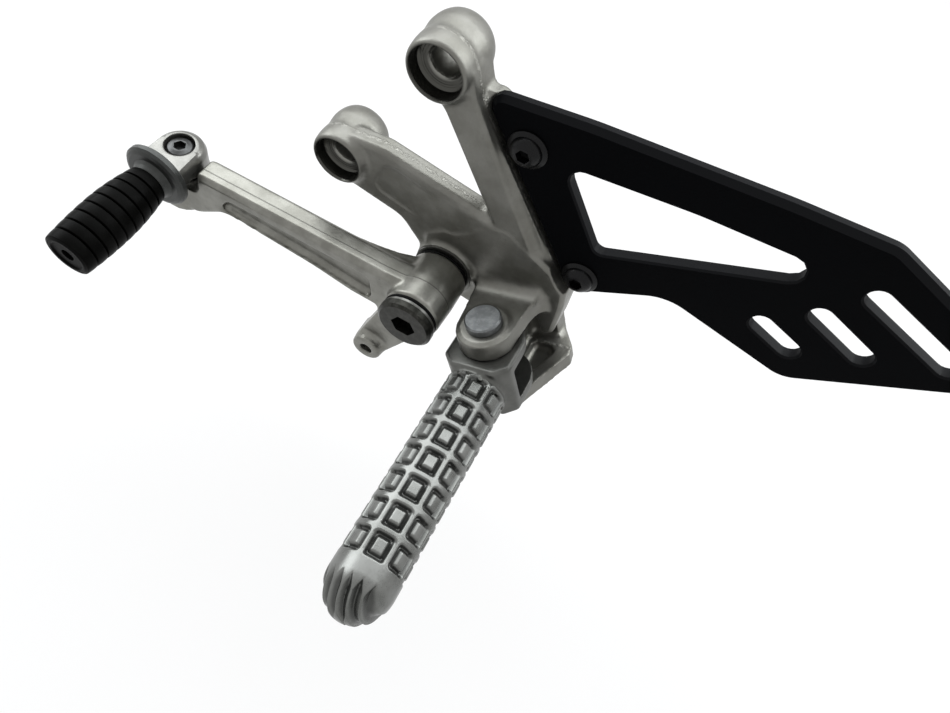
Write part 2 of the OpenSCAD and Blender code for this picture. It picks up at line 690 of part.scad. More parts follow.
module toe_friction_washer() {
    color([0.06, 0.06, 0.06]) translate([toe_pin[0], toe_pin[1], toe_lug_z]) difference() {
        cylinder(h = toe_gap_z - toe_lug_z - 0.1, d = toe_hub_d - 0.8);
        translate([0, 0, -1]) cylinder(h = 5, d = toe_screw_d + 0.4);
        translate([detent_r, 0, -1]) cylinder(h = 5, d = detent_hole_d);
    }
}

module toe_detent_ball() {
    color([0.75, 0.75, 0.76]) translate([toe_pin[0] + detent_r, toe_pin[1], toe_gap_z - 0.2]) sphere(d = detent_ball_d);
}

module toe_detent_spring() {
    wire = 0.5;
    coils = 6;
    room = detent_depth + toe_gap_z - toe_lug_z - 0.2 - detent_ball_d / 2;
    color([0.55, 0.55, 0.56])
        translate([toe_pin[0] + detent_r, toe_pin[1], toe_lug_z - detent_depth + wire / 2])
            helix(1.1, wire, (room - wire) / coils, coils, 10);
}

// A round wire swept along a helix, with a straight tail that leaves it along +Y
module helix(mean_r, wire, pitch, turns, steps, tail = 0) {
    coil = turns * steps;
    n = coil + (tail > 0 ? 1 : 0);
    sides = 8;
    rings = [for (k = [0:n]) let(t = min(k, coil), a = 360 * t / steps) [for (j = [0:sides - 1])
        let(r = mean_r + wire / 2 * cos(45 * j))
        [r * cos(a), r * sin(a) + (k > coil ? tail : 0), pitch * t / steps + wire / 2 * sin(45 * j)]]];
    faces = concat(
        [[for (j = [0:sides - 1]) sides - 1 - j]],
        [for (k = [0:n - 1]) for (j = [0:sides - 1])
            [k * sides + j, k * sides + (j + 1) % sides, (k + 1) * sides + (j + 1) % sides, (k + 1) * sides + j]],
        [[for (j = [0:sides - 1]) n * sides + j]]
    );
    polyhedron([for (r = rings) each r], faces);
}

// Footrest

bar_r = bar_d / 2;
root_y0 = -50;
tip_y = -pin_out - footrest_len;
end_len = 12.5;
pad_start = -55.4;
slot_half = 7.35;
spring_r = pin_d / 2 + 0.6 + spring_wire / 2;
slot_end = -pin_out - spring_r - spring_wire / 2 - 0.4;

module footrest_root() {
    w = root_w / 2;
    heel = -pin_out + w;
    corners = [
        [-w, root_y0 + 4, 2], [-w + 4.4, root_y0, 2], [w - 4.4, root_y0, 2], [w, root_y0 + 4, 2],
        [w, heel, w], [-w, heel, 2]
    ];
    bevelled_prism(corners, -root_h / 2, root_h / 2, 1, 1);
}

module pad_window(row, column) {
    y = pad_start - row * pad_pitch;
    w = 2 * PI * bar_r / pad_columns - 1.6;
    l = pad_pitch - 1.8;
    moat = 1.5;
    pad_w = w - 2 * moat;
    pad_l = l - 2 * moat;
    floor_r = bar_r - 1.5;
    rotate([0, column * 360 / pad_columns, 0]) translate([0, y, floor_r]) difference() {
        translate([-w / 2, -l / 2, 0]) cube([w, l, 5]);
        translate([-pad_w / 2, -pad_l / 2, -1]) cube([pad_w, pad_l, 7]);
    }
}

// The rounded end: an ellipse of revolution, r0 wide and end_len long
function dome(r0, len, n = 10) = [for (i = [0:n]) [r0 * cos(90 * i / n), tip_y + end_len - len * sin(90 * i / n)]];

module end_grooves() {
    count = 6;
    pitch = 3.2;
    depth = 1.3;
    inner = concat([[0, tip_y + end_len + 3], [bar_r - depth, tip_y + end_len + 3]], dome(bar_r - depth, end_len - depth));
    for (i = [0:count - 1]) difference() {
        translate([(i - (count - 1) / 2) * pitch - 0.9, tip_y - 1, 0])
            cube([1.8, end_len + 0.5, bar_r + 1]);
        rotate([-90, 0, 0]) rotate_extrude() polygon(inner);
    }
}

module footrest_bar() {
    color([0.74, 0.75, 0.75]) at_footrest() difference() {
        union() {
            footrest_root();
            rotate([-90, 0, 0]) rotate_extrude() polygon(concat(
                [[0, root_y0 + 2], [bar_r - 1.4, root_y0 + 2], [bar_r - 0.6, root_y0 - 0.6], [bar_r, root_y0 - 1.2]],
                dome(bar_r, end_len)
            ));
        }
        for (row = [0:pad_rows - 1]) for (column = [0:pad_columns - 1]) pad_window(row, column);
        end_grooves();
        translate([0, -pin_out, -20]) cylinder(h = 40, d = pin_d + 2 * shaft_fit);
        translate([-root_w, slot_end, -slot_half]) cube([2 * root_w, 40, 2 * slot_half]);
    }
}

module footrest_pin() {
    head_t = 3;
    end = -lug_bottom - 4;
    r = pin_d / 2;
    color([0.52, 0.54, 0.55]) at_footrest() translate([0, -pin_out, 0]) rotate_extrude() polygon([
        [0, end], [r - 0.8, end], [r, end + 0.8], [r, -lug_bottom - 2.2], [r - 0.7, -lug_bottom - 2.2],
        [r - 0.7, -lug_bottom - 1.2], [r, -lug_bottom - 1.2], [r, pad_top], [pin_head_d / 2 - 0.3, pad_top],
        [pin_head_d / 2, pad_top + 0.3], [pin_head_d / 2, pad_top + head_t - 0.5],
        [pin_head_d / 2 - 0.5, pad_top + head_t], [0, pad_top + head_t]
    ]);
}

module pin_washer() {
    color([0.60, 0.60, 0.58]) at_footrest() translate([0, -pin_out, -lug_bottom - 1]) difference() {
        cylinder(h = 1, d = pin_d + 7);
        translate([0, 0, -1]) cylinder(h = 3, d = pin_d + 0.3);
    }
}

module pin_clip() {
    color([0.35, 0.35, 0.36]) at_footrest() translate([0, -pin_out, -lug_bottom - 2.1]) difference() {
        cylinder(h = 0.8, d = pin_d + 4.4);
        translate([0, 0, -1]) cylinder(h = 3, d = pin_d - 1.4);
        translate([-1.8, 0, -1]) cube([3.6, 10, 3]);
    }
}

module footrest_spring() {
    coils = 4;
    pitch = spring_wire + 0.3;
    low = -(coils * pitch) / 2;
    color([0.12, 0.12, 0.13]) at_footrest() translate([0, -pin_out, 0]) {
        translate([0, 0, low])
            helix(spring_r, spring_wire, pitch, coils, 16, pin_out - arch_floor - seat_gap);
    }
}

hanger();
heel_guard();
guard_screw_upper();
guard_screw_lower();
gear_lever();
lever_bush();
lever_pivot_bolt();
lever_outer_washer();
lever_outer_seal();
lever_inner_washer();
lever_inner_seal();
toe_hub();
toe_flange();
toe_rubber();
toe_end_screw();
toe_pivot_screw();
toe_friction_washer();
toe_detent_ball();
toe_detent_spring();
footrest_bar();
footrest_pin();
footrest_spring();
pin_washer();
pin_clip();
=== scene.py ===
"""Studio scene of a motorcycle's left footrest hanger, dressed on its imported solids.

Lengths in the dataclasses are millimetres in the part's own frame: X rearward, Y inboard, Z up.
"""

from __future__ import annotations

import json
import logging
import math
from dataclasses import dataclass
from enum import Enum
from typing import Any, Callable, Sequence

import bmesh
import bpy
from mathutils import Matrix, Vector

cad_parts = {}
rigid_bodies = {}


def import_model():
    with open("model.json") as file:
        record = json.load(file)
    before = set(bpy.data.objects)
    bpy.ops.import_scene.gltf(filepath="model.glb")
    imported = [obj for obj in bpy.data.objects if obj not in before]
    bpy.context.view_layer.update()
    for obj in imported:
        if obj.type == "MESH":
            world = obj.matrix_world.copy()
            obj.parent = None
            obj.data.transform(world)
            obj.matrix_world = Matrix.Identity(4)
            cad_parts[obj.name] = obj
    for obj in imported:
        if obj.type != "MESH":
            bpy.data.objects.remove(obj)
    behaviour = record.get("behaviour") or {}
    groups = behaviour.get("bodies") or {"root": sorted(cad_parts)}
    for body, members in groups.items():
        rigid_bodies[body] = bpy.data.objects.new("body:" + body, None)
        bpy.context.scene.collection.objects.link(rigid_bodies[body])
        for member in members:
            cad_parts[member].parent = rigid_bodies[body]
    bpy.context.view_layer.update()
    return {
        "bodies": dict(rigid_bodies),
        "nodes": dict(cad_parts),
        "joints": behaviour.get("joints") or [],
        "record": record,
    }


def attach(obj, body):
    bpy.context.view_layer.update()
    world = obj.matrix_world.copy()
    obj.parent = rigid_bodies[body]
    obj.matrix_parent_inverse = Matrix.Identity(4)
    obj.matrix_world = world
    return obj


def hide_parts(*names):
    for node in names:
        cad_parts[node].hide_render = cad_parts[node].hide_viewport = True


LOG = logging.getLogger("footrest_hanger")
MM = 0.001  # a millimetre in metres
Point = tuple[float, float, float]
Colour = tuple[float, float, float]
Span = tuple[float, float]  # where a smooth step is 0 and where it is 1
Spot = tuple[float, float]  # X and Z, or a radius and Y

# X and Z of the bosses that are bolted to the motorcycle's frame, and Y of their outer faces
FRAME_BOSSES: tuple[Spot, ...] = ((0.0, 0.0), (-30.0, -50.5))
BOSS_FACE = -20.0
# X and Z of the footrest bar's axis, its lean about it, its tip and the length of its rounded end
BAR_AXIS: Spot = (45.84, -87.82)
BAR_TILT = 23.5
BAR_TIP = -136.5
BAR_DOME = 12.5
# Width across a hexagon's flats against the radius of its corners
HEXAGON = 1.732


# Node graphs written as expressions


class Wire:
    """A node's output that can stand in a Python expression."""

    def __init__(self, graph: "Graph", socket: bpy.types.NodeSocket) -> None:
        """Keeps the graph and the socket.

        Args:
            graph: The graph that the socket is in.
            socket: The output socket.
        """
        self.graph = graph
        self.socket = socket

    def _op(self, operation: str, *others: Any, swap: bool = False) -> "Wire":
        """Adds a Math node.

        Args:
            operation: The node's operation.
            others: The other operands, as wires or numbers.
            swap: Puts the first other operand in front.

        Returns:
            The node's value.
        """
        operands = [self, *others]
        if swap:
            operands[0], operands[1] = operands[1], operands[0]
        return self.graph.add("ShaderNodeMath", {"operation": operation}, dict(enumerate(operands)))

    def __add__(self, other: Any) -> "Wire":
        """Sum."""
        return self._op("ADD", other)

    def __radd__(self, other: Any) -> "Wire":
        """Sum with a number in front."""
        return self._op("ADD", other)

    def __sub__(self, other: Any) -> "Wire":
        """Difference."""
        return self._op("SUBTRACT", other)

    def __rsub__(self, other: Any) -> "Wire":
        """Difference from a number."""
        return self._op("SUBTRACT", other, swap=True)

    def __mul__(self, other: Any) -> "Wire":
        """Product."""
        return self._op("MULTIPLY", other)

    def __rmul__(self, other: Any) -> "Wire":
        """Product with a number in front."""
        return self._op("MULTIPLY", other)

    def __truediv__(self, other: Any) -> "Wire":
        """Quotient."""
        return self._op("DIVIDE", other)

    def __rtruediv__(self, other: Any) -> "Wire":
        """Quotient of a number."""
        return self._op("DIVIDE", other, swap=True)

    def __pow__(self, other: Any) -> "Wire":
        """Power."""
        return self._op("POWER", other)

    def __abs__(self) -> "Wire":
        """Size without sign."""
        return self._op("ABSOLUTE")

    def min(self, other: Any) -> "Wire":
        """The smaller of the two."""
        return self._op("MINIMUM", other)

    def max(self, other: Any) -> "Wire":
        """The larger of the two."""
        return self._op("MAXIMUM", other)

    def sin(self) -> "Wire":
        """Sine."""
        return self._op("SINE")

    def cos(self) -> "Wire":
        """Cosine."""
        return self._op("COSINE")

    def sqrt(self) -> "Wire":
        """Square root."""
        return self._op("SQRT")

    def above(self, limit: float) -> "Wire":
        """1 above a limit and 0 elsewhere."""
        return self._op("GREATER_THAN", limit)

    def off_middle(self) -> "Wire":
        """Distance from the middle between two whole numbers, 0 to 0.5."""
        return abs(self._op("FRACT") - 0.5)

    def ramp(self, low: float, high: float) -> "Wire":
        """Rises evenly from 0 at low to 1 at high."""
        return ((self - low) * (1 / (high - low))).max(0.0).min(1.0)

    def step(self, low: float, high: float) -> "Wire":
        """Rises smoothly from 0 at low to 1 at high.

        Args:
            low: The value at which the result is 0.
            high: The value at which it is 1. It may be below low.

        Returns:
            A value from 0 to 1.
        """
        rising = self.graph.add("ShaderNodeMapRange", {"interpolation_type": "SMOOTHSTEP"},
                                {"Value": self, "From Min": min(low, high), "From Max": max(low, high)})
        return rising if low <= high else 1.0 - rising


class Graph:
    """A node tree with one method that adds any node."""

    def __init__(self, tree: bpy.types.NodeTree) -> None:
        """Keeps the tree.

        Args:
            tree: A shader or geometry node tree.
        """
        self.tree = tree

    def add(self, kind: str, settings: dict[str, Any] | None = None, sockets: dict[Any, Any] | None = None,
            out: str = "") -> Wire:
        """Adds a node.

        Args:
            kind: The node's type.
            settings: Its properties, set first.
            sockets: Values or wires by socket name or number.
            out: The name of the output to return. The first one if left out.

        Returns:
            The chosen output.
        """
        node = self.tree.nodes.new(kind)
        for key, value in (settings or {}).items():
            setattr(node, key, value)
        for key, value in (sockets or {}).items():
            target = node.inputs[key]
            if isinstance(value, Wire):
                self.tree.links.new(value.socket, target)
            elif target.type == "RGBA":
                target.default_value = (*value, 1.0)
            else:
                target.default_value = value
        found = [socket for socket in node.outputs if socket.enabled and out in ("", socket.name)]
        return Wire(self, found[0] if found else None)

    def axes(self, vector: Wire) -> tuple[Wire, Wire, Wire]:
        """Splits a vector into its three values."""
        outputs = self.add("ShaderNodeSeparateXYZ", None, {0: vector}).socket.node.outputs
        return tuple(Wire(self, outputs[i]) for i in range(3))

    def vector(self, *values: Any) -> Wire:
        """Joins three values in millimetres into a place in metres."""
        return self.add("ShaderNodeCombineXYZ", None, {i: value * MM for i, value in enumerate(values)})

    def place(self) -> Wire:
        """The surface's place in the piece's own frame, in metres."""
        return self.add("ShaderNodeTexCoord", None, None, "Object")

    def place_mm(self) -> tuple[Wire, Wire, Wire]:
        """X, Y and Z of the surface's place, in millimetres."""
        return tuple(value * (1 / MM) for value in self.axes(self.place()))

    def noise(self, size_mm: float, detail: float = 3.0, rough: float = 0.5, seed: float = 0.0) -> Wire:
        """Soft random values from 0 to 1.

        Args:
            size_mm: The size of the pattern.
            detail: Octaves of finer pattern.
            rough: Strength of the finer pattern.
            seed: Another pattern for another number.

        Returns:
            The values.
        """
        return self.add("ShaderNodeTexNoise", {"noise_dimensions": "4D"},
                        {"Vector": self.place(), "W": seed, "Scale": 1.0 / (size_mm * MM),
                         "Detail": detail, "Roughness": rough}, "Fac")

    def specks(self, size_mm: float, share: float, seed: float = 0.0) -> Wire:
        """Sparse small spots with soft edges: 1 in a spot and 0 elsewhere.

        Args:
            size_mm: The distance between places where a spot may be.
            share: A spot's radius as a share of that distance.
            seed: Another pattern for another number.

        Returns:
            The spots.
        """
        core = 0.35
        cell = self.add("ShaderNodeTexVoronoi", {"voronoi_dimensions": "4D", "feature": "F1"},
                        {"Vector": self.place(), "W": seed, "Scale": 1.0 / (size_mm * MM)}, "Distance")
        return cell.step(share, share * core)

    def mix(self, factor: Any, low: Any, high: Any) -> Wire:
        """Blends two colours.

        Args:
            factor: 0 for the first colour, 1 for the second.
            low: The first colour.
            high: The second colour.

        Returns:
            The blend.
        """
        node = self.tree.nodes.new("ShaderNodeMix")
        node.data_type = "RGBA"
        pairs = [(node.inputs[0], factor), (node.inputs[6], low), (node.inputs[7], high)]
        for target, value in pairs:
            if isinstance(value, Wire):
                self.tree.links.new(value.socket, target)
            else:
                target.default_value = (*value, 1.0) if isinstance(value, tuple) else value
        return Wire(self, node.outputs[2])

    def bump(self, height_mm: Wire, strength: float = 1.0) -> Wire:
        """A normal from a height in millimetres."""
        return self.add("ShaderNodeBump", None, {"Height": height_mm, "Distance": MM, "Strength": strength})


def emptied(owner: bpy.types.World | bpy.types.Material) -> Graph:
    """Clears the node tree of a world or a material.

    Args:
        owner: The world or the material.

    Returns:
        Its empty tree.
    """
    owner.use_nodes = True
    owner.node_tree.nodes.clear()
    return Graph(owner.node_tree)


# Finishes


@dataclass(frozen=True)
class Finish:
    """What every finish has."""

    name: str
    base: Colour
    rough: float = 0.4

    def material(self) -> bpy.types.Material:
        """Builds the material.

        Returns:
            The material, with its nodes.
        """
        made = bpy.data.materials.new(f"{self.name}_finish")
        graph = emptied(made)
        shader = graph.add("ShaderNodeBsdfPrincipled", None, self.surface(graph))
        graph.add("ShaderNodeOutputMaterial", None, {"Surface": shader})
        made.diffuse_color = (*self.base, 1.0)
        return made

    def surface(self, g: Graph) -> dict[str, Any]:
        """The shader's values.

        Args:
            g: The material's graph.

        Returns:
            Values and wires by socket name.
        """
        return {"Base Color": self.base, "Roughness": self.rough}

    def tinted(self, share: float, lift: float = 0.0) -> Colour:
        """The base colour times a share, with a little white added, and no channel over 1."""
        return tuple(min(1.0, channel * share + lift) for channel in self.base)


@dataclass(frozen=True)
class CastMetal(Finish):
    """Aluminium from a mould, tumbled, with a fine grain and a few stains.

    Depths, sizes and places are in millimetres. A tone is a share of the base colour, or of the bright
    one for the parting line.
    """

    bright: Colour = (0.62, 0.62, 0.60)
    metal: float = 0.85
    cloud_mm: float = 9.0
    cloud_span: Span = (0.35, 0.68)
    cloud_rough: float = 0.18
    grain_mm: float = 0.32
    grain_depth: float = 0.022
    grain_rough: float = 0.12
    dent_mm: float = 1.6
    dent_grains: float = 1.6
    dent_span: Span = (0.62, 0.8)
    dent_share: float = 0.25
    dent_tone: float = 0.55
    stains: float = 0.5
    stain_mm: float = 3.1
    stain_r: float = 0.16
    stain_patch_mm: float = 7.0
    stain_patch_span: Span = (0.5, 0.66)
    stain_tone: float = 0.4
    stain_rough: float = 0.3
    parting_y: float | None = None
    parting_half: float = 0.35
    parting_core: float = 0.4
    parting_height: float = 0.12
    parting_share: float = 0.6
    parting_tone: float = 1.5
    parting_breaks: float = 0.0
    parting_break_span: Span = (0.42, 0.60)
    turned: tuple[Spot, ...] = ()
    turned_face: float = 0.0
    turned_r: Span = (8.9, 8.5)
    turned_depth: Span = (6.6, 6.2)
    turned_hole_r: Span = (5.6, 4.8)
    turned_tone: float = 0.42
    turned_gloss: float = 0.45
    ring_depth: float = 0.022
    rings: float = 9.0

    def surface(self, g: Graph) -> dict[str, Any]:
        """The shader's values.

        Args:
            g: The material's graph.

        Returns:
            Values and wires by socket name.
        """
        cloud = g.noise(self.cloud_mm, 4.0, 0.6)
        grain = g.noise(self.grain_mm, 2.0, 0.55)
        dents = g.noise(self.dent_mm, 2.0, 0.5, seed=3.0)
        patches = g.noise(self.stain_patch_mm, 2.0, 0.5, seed=8.0).step(*self.stain_patch_span)
        spots = g.specks(self.stain_mm, self.stain_r, 5.0) * patches * self.stains
        tone = g.mix(cloud.step(*self.cloud_span), self.base, self.bright)
        tone = g.mix(dents.step(*self.dent_span) * self.dent_share, tone, self.tinted(self.dent_tone))
        tone = g.mix(spots, tone, self.tinted(self.stain_tone))
        rough = self.rough + (cloud - 0.5) * self.cloud_rough + (grain - 0.5) * self.grain_rough
        rough = rough + spots * self.stain_rough
        height = grain * self.grain_depth + dents * (self.grain_depth * self.dent_grains)
        x, y, z = g.place_mm()
        if self.parting_y is not None:
            line = abs(y - self.parting_y).step(self.parting_half, self.parting_half * self.parting_core)
            if self.parting_breaks:
                line = line * g.noise(self.parting_breaks, 3.0, 0.7, seed=11.0).step(*self.parting_break_span)
            height = height + line * self.parting_height
            tone = g.mix(line * self.parting_share, tone, tuple(self.parting_tone * c for c in self.bright))
        for centre_x, centre_z in self.turned:
            across = ((x - centre_x) ** 2.0 + (z - centre_z) ** 2.0).sqrt()
            # Painted shade on the counterbore's floor, and a painted highlight in the bolt hole inside it
            bore_shade_and_light = g.mix(across.step(*self.turned_hole_r), self.tinted(self.turned_tone), self.bright)
            inside = across.step(*self.turned_r)
            inside = inside * y.step(*(self.turned_face + depth for depth in self.turned_depth))
            height = height * (1.0 - inside) + ((across + y) * self.rings).sin() * self.ring_depth * inside
            tone = g.mix(inside, tone, bore_shade_and_light)
            rough = rough * (1.0 - inside * self.turned_gloss)
        return {"Base Color": tone, "Metallic": self.metal, "Roughness": rough, "Normal": g.bump(height)}


@dataclass(frozen=True)
class GripMetal(CastMetal):
    """The footrest bar's metal, darker in the hollows of its grip: partly dirt, partly painted shade of the
    hollows.

    The depths at which the dirt and the painted shade start and are full are shares of the bar's radius.
    """

    full_r: float = 11.25
    dirt_span: Span = (0.025, 0.11)
    dirt_share: float = 0.62
    dirt_tone: float = 0.15

    def surface(self, g: Graph) -> dict[str, Any]:
        """The shader's values.

        Args:
            g: The material's graph.

        Returns:
            Values and wires by socket name.
        """
        values = super().surface(g)
        x, y, z = g.place_mm()
        off_x, off_z = x - BAR_AXIS[0], z - BAR_AXIS[1]
        lean, rise = math.cos(math.radians(BAR_TILT)), math.sin(math.radians(BAR_TILT))
        side, over = off_x * lean + off_z * rise, off_z * lean - off_x * rise
        out = (side * side + over * over).sqrt()
        past = ((BAR_TIP + BAR_DOME - y) * (1 / BAR_DOME)).max(0.0)
        depth = 1.0 - ((out * (1 / self.full_r)) ** 2.0 + past * past).sqrt()
        # Dirt and painted shade: the deeper places of the grip's moats and of the rounded end's grooves are
        # darkened
        dirt_and_shade = depth.step(*self.dirt_span) * self.dirt_share
        values["Base Color"] = g.mix(dirt_and_shade, values["Base Color"], self.tinted(self.dirt_tone))
        return values


@dataclass(frozen=True)
class BlackCoat(Finish):
    """Black anodised or powder-coated sheet metal with a fine grain and a little dust."""

    sheen: float = 0.35
    grain_mm: float = 0.35
    grain_depth: float = 0.006
    grain_rough: float = 0.08
    cloud_mm: float = 14.0
    cloud_rough: float = 0.12
    dust_mm: float = 1.1
    dust_span: Span = (0.60, 0.86)
    dust_share: float = 0.20
    edge: float = 0.0
    edge_span: Span = (0.96, 0.82)
    edge_rough: float = 0.32
    edge_share: float = 0.5

    def surface(self, g: Graph) -> dict[str, Any]:
        """The shader's values.

        Args:
            g: The material's graph.

        Returns:
            Values and wires by socket name.
        """
        grain = g.noise(self.grain_mm, 2.0, 0.6)
        cloud = g.noise(self.cloud_mm, 3.0, 0.5, seed=2.0)
        dust = g.noise(self.dust_mm, 3.0, 0.6, seed=6.0).step(*self.dust_span) * self.dust_share
        tone = g.mix(dust, self.base, self.tinted(2.6, 0.002))
        rough = self.rough + (cloud - 0.5) * self.cloud_rough + (grain - 0.5) * self.grain_rough
        values = {"Base Color": tone, "Metallic": 0.0, "Roughness": rough, "Specular IOR Level": self.sheen,
                  "Normal": g.bump(grain * self.grain_depth)}
        if self.edge:
            # The faces between the two flat sides get a glossier coat and a lighter colour, which is a
            # painted highlight along the edges
            normal = g.add("ShaderNodeTexCoord", None, None, "Normal")
            side = abs(g.axes(normal)[1]).step(*self.edge_span)
            values["Coat Weight"] = side * self.edge
            values["Coat Roughness"] = self.edge_rough
            values["Base Color"] = g.mix(side * self.edge_share, tone, self.tinted(2.0, 0.001))
        return values


@dataclass(frozen=True)
class Rubber(Finish):
    """Moulded black rubber, greyer in soft patches."""

    sheen: float = 0.2
    grain_mm: float = 0.4
    grain_depth: float = 0.012
    grain_rough: float = 0.2
    cloud_mm: float = 5.0
    cloud_span: Span = (0.42, 0.75)
    cloud_share: float = 0.6

    def surface(self, g: Graph) -> dict[str, Any]:
        """The shader's values.

        Args:
            g: The material's graph.

        Returns:
            Values and wires by socket name.
        """
        grain = g.noise(self.grain_mm, 3.0, 0.6)
        cloud = g.noise(self.cloud_mm, 3.0, 0.5, seed=1.0).step(*self.cloud_span) * self.cloud_share
        return {"Base Color": g.mix(cloud, self.base, self.tinted(1.9, 0.001)),
                "Roughness": self.rough + (grain - 0.5) * self.grain_rough, "Specular IOR Level": self.sheen,
                "Normal": g.bump(grain * self.grain_depth)}


@dataclass(frozen=True)
class PlatedSteel(Finish):
    """Turned steel, plated or blackened, worn bright in patches and marked by small dark spots."""

    bright: Colour = (0.5, 0.5, 0.5)
    metal: float = 0.9
    worn: float = 0.5
    wear_mm: float = 2.4
    wear_span: Span = (0.40, 0.72)
    wear_rough: float = 0.2
    grain_mm: float = 0.22
    grain_depth: float = 0.004
    grain_rough: float = 0.1
    mark_mm: float = 1.7
    mark_r: float = 0.2
    mark_share: float = 0.4
    mark_tone: float = 0.5

    def surface(self, g: Graph) -> dict[str, Any]:
        """The shader's values.

        Args:
            g: The material's graph.

        Returns:
            Values and wires by socket name.
        """
        wear = g.noise(self.wear_mm, 4.0, 0.65)
        grain = g.noise(self.grain_mm, 2.0, 0.6, seed=4.0)
        marks = g.specks(self.mark_mm, self.mark_r, 2.0) * self.mark_share
        tone = g.mix(wear.step(*self.wear_span) * self.worn, self.base, self.bright)
        tone = g.mix(marks, tone, self.tinted(self.mark_tone))
        return {"Base Color": tone, "Metallic": self.metal,
                "Roughness": self.rough + (wear - 0.5) * self.wear_rough + (grain - 0.5) * self.grain_rough,
                "Normal": g.bump(grain * self.grain_depth)}


class Look(Enum):
    """The finishes that the pieces choose from."""

    CASTING = CastMetal("cast_aluminium", (0.148, 0.146, 0.130), 0.42, bright=(0.195, 0.193, 0.176),
                        grain_depth=0.030, parting_y=-13.6, parting_half=0.9, parting_height=0.10,
                        parting_breaks=1.6, turned=FRAME_BOSSES, turned_face=BOSS_FACE)
    LEVER = CastMetal("forged_aluminium", (0.165, 0.163, 0.145), 0.36, bright=(0.245, 0.243, 0.22),
                      grain_depth=0.010, parting_y=-35.0, parting_half=0.28, parting_height=0.05,
                      parting_tone=0.25, stains=0.3)
    TOE_HUB = CastMetal("toe_aluminium", (0.145, 0.145, 0.135), 0.32, bright=(0.22, 0.218, 0.205),
                        grain_depth=0.010, stains=0.3)
    BAR = GripMetal("bar_aluminium", (0.128, 0.131, 0.124), 0.29, bright=(0.19, 0.193, 0.185),
                    grain_depth=0.003, stains=0.2)
    BAR_ROOT = CastMetal("bar_aluminium_root", (0.085, 0.086, 0.080), 0.40, bright=(0.125, 0.126, 0.118),
                         grain_depth=0.012, stains=0.25)
    GUARD = BlackCoat("guard_black", (0.0032, 0.0034, 0.0040), 0.5, sheen=0.014, edge=0.10)
    GUARD_SCREW = BlackCoat("black_screw", (0.005, 0.005, 0.0055), 0.28, sheen=0.17)
    PIVOT_BOLT = PlatedSteel("pivot_steel", (0.020, 0.020, 0.017), 0.36, bright=(0.052, 0.052, 0.047),
                             worn=0.8)
    PIN = PlatedSteel("pin_steel", (0.125, 0.13, 0.132), 0.44, bright=(0.20, 0.208, 0.21), worn=0.9)
    WASHER = PlatedSteel("washer_steel", (0.15, 0.15, 0.14), 0.34, bright=(0.21, 0.21, 0.20))
    ZINC = PlatedSteel("zinc_screw", (0.045, 0.046, 0.046), 0.32, bright=(0.11, 0.112, 0.115))
    SEAL = Rubber("seal_rubber", (0.004, 0.004, 0.004), 0.5, sheen=0.05)
    TOE_RUBBER = Rubber("toe_rubber", (0.0026, 0.0026, 0.0024), 0.34, sheen=0.02)
    FLANGE = PlatedSteel("flange_grey", (0.036, 0.038, 0.036), 0.42, bright=(0.060, 0.062, 0.060), metal=0.6)
    FRICTION = BlackCoat("friction_black", (0.004, 0.004, 0.004), 0.6, sheen=0.05)
    SPRING = PlatedSteel("spring_steel", (0.016, 0.016, 0.017), 0.34, bright=(0.035, 0.035, 0.035))
    CLIP = PlatedSteel("clip_steel", (0.03, 0.03, 0.03), 0.4, bright=(0.06, 0.06, 0.06))
    BUSH = PlatedSteel("bush_bronze", (0.20, 0.14, 0.07), 0.4, bright=(0.30, 0.22, 0.12))

    def made(self) -> bpy.types.Material:
        """The material, built at its first use.

        Returns:
            The material.
        """
        found = bpy.data.materials.get(f"{self.value.name}_finish")
        return found or self.value.material()


# Meshes


def dress(piece: bpy.types.Object, look: Look) -> bpy.types.Object:
    """Gives a piece one finish all over.

    Args:
        piece: The piece.
        look: Its finish.

    Returns:
        The piece.
    """
    piece.data.materials.clear()
    piece.data.materials.append(look.made())
    for face in piece.data.polygons:
        face.material_index = 0
    return piece


def piece_from(mesh: bpy.types.Mesh, name: str) -> bpy.types.Object:
    """Links a mesh into the scene.

    Args:
        mesh: The mesh.
        name: The object's name.

    Returns:
        The object, at the origin.
    """
    made = bpy.data.objects.new(name, mesh)
    bpy.context.scene.collection.objects.link(made)
    return made


def solid_from(work: bmesh.types.BMesh, name: str) -> bpy.types.Object:
    """Turns a finished bmesh into an object and frees it.

    Args:
        work: The bmesh.
        name: The object's name.

    Returns:
        The object, at the origin.
    """
    mesh = bpy.data.meshes.new(name)
    work.to_mesh(mesh)
    work.free()
    return piece_from(mesh, name)


def shade(mesh: bpy.types.Mesh, angle: float = 35.0) -> None:
    """Smooth shading with sharp edges over an angle.

    Args:
        mesh: The mesh.
        angle: The angle in degrees.
    """
    mesh.polygons.foreach_set("use_smooth", [True] * len(mesh.polygons))
    mesh.set_sharp_from_angle(angle=math.radians(angle))


def baked(piece: bpy.types.Object, name: str) -> bpy.types.Object:
    """Turns a piece with modifiers into a plain mesh and removes the first one.

    Args:
        piece: The piece with live modifiers.
        name: The new piece's name.

    Returns:
        The plain piece.
    """
    bpy.context.view_layer.update()
    graph = bpy.context.evaluated_depsgraph_get()
    mesh = bpy.data.meshes.new_from_object(piece.evaluated_get(graph), depsgraph=graph)
    bpy.data.objects.remove(piece)
    mesh.name = name
    return piece_from(mesh, name)


def copy_of(node: bpy.types.Object, name: str) -> bpy.types.Object:
    """Copies a solid with its loose triangles merged.

    Args:
        node: The solid.
        name: The copy's name.

    Returns:
        The copy, without materials.
    """
    mesh = node.data.copy()
    work = bmesh.new()
    work.from_mesh(mesh)
    bmesh.ops.remove_doubles(work, verts=work.verts, dist=1e-6)
    work.to_mesh(mesh)
    work.free()
    mesh.materials.clear()
    for label in [a.name for a in mesh.attributes if a.name.startswith("custom_normal")]:
        mesh.attributes.remove(mesh.attributes[label])
    return piece_from(mesh, name)


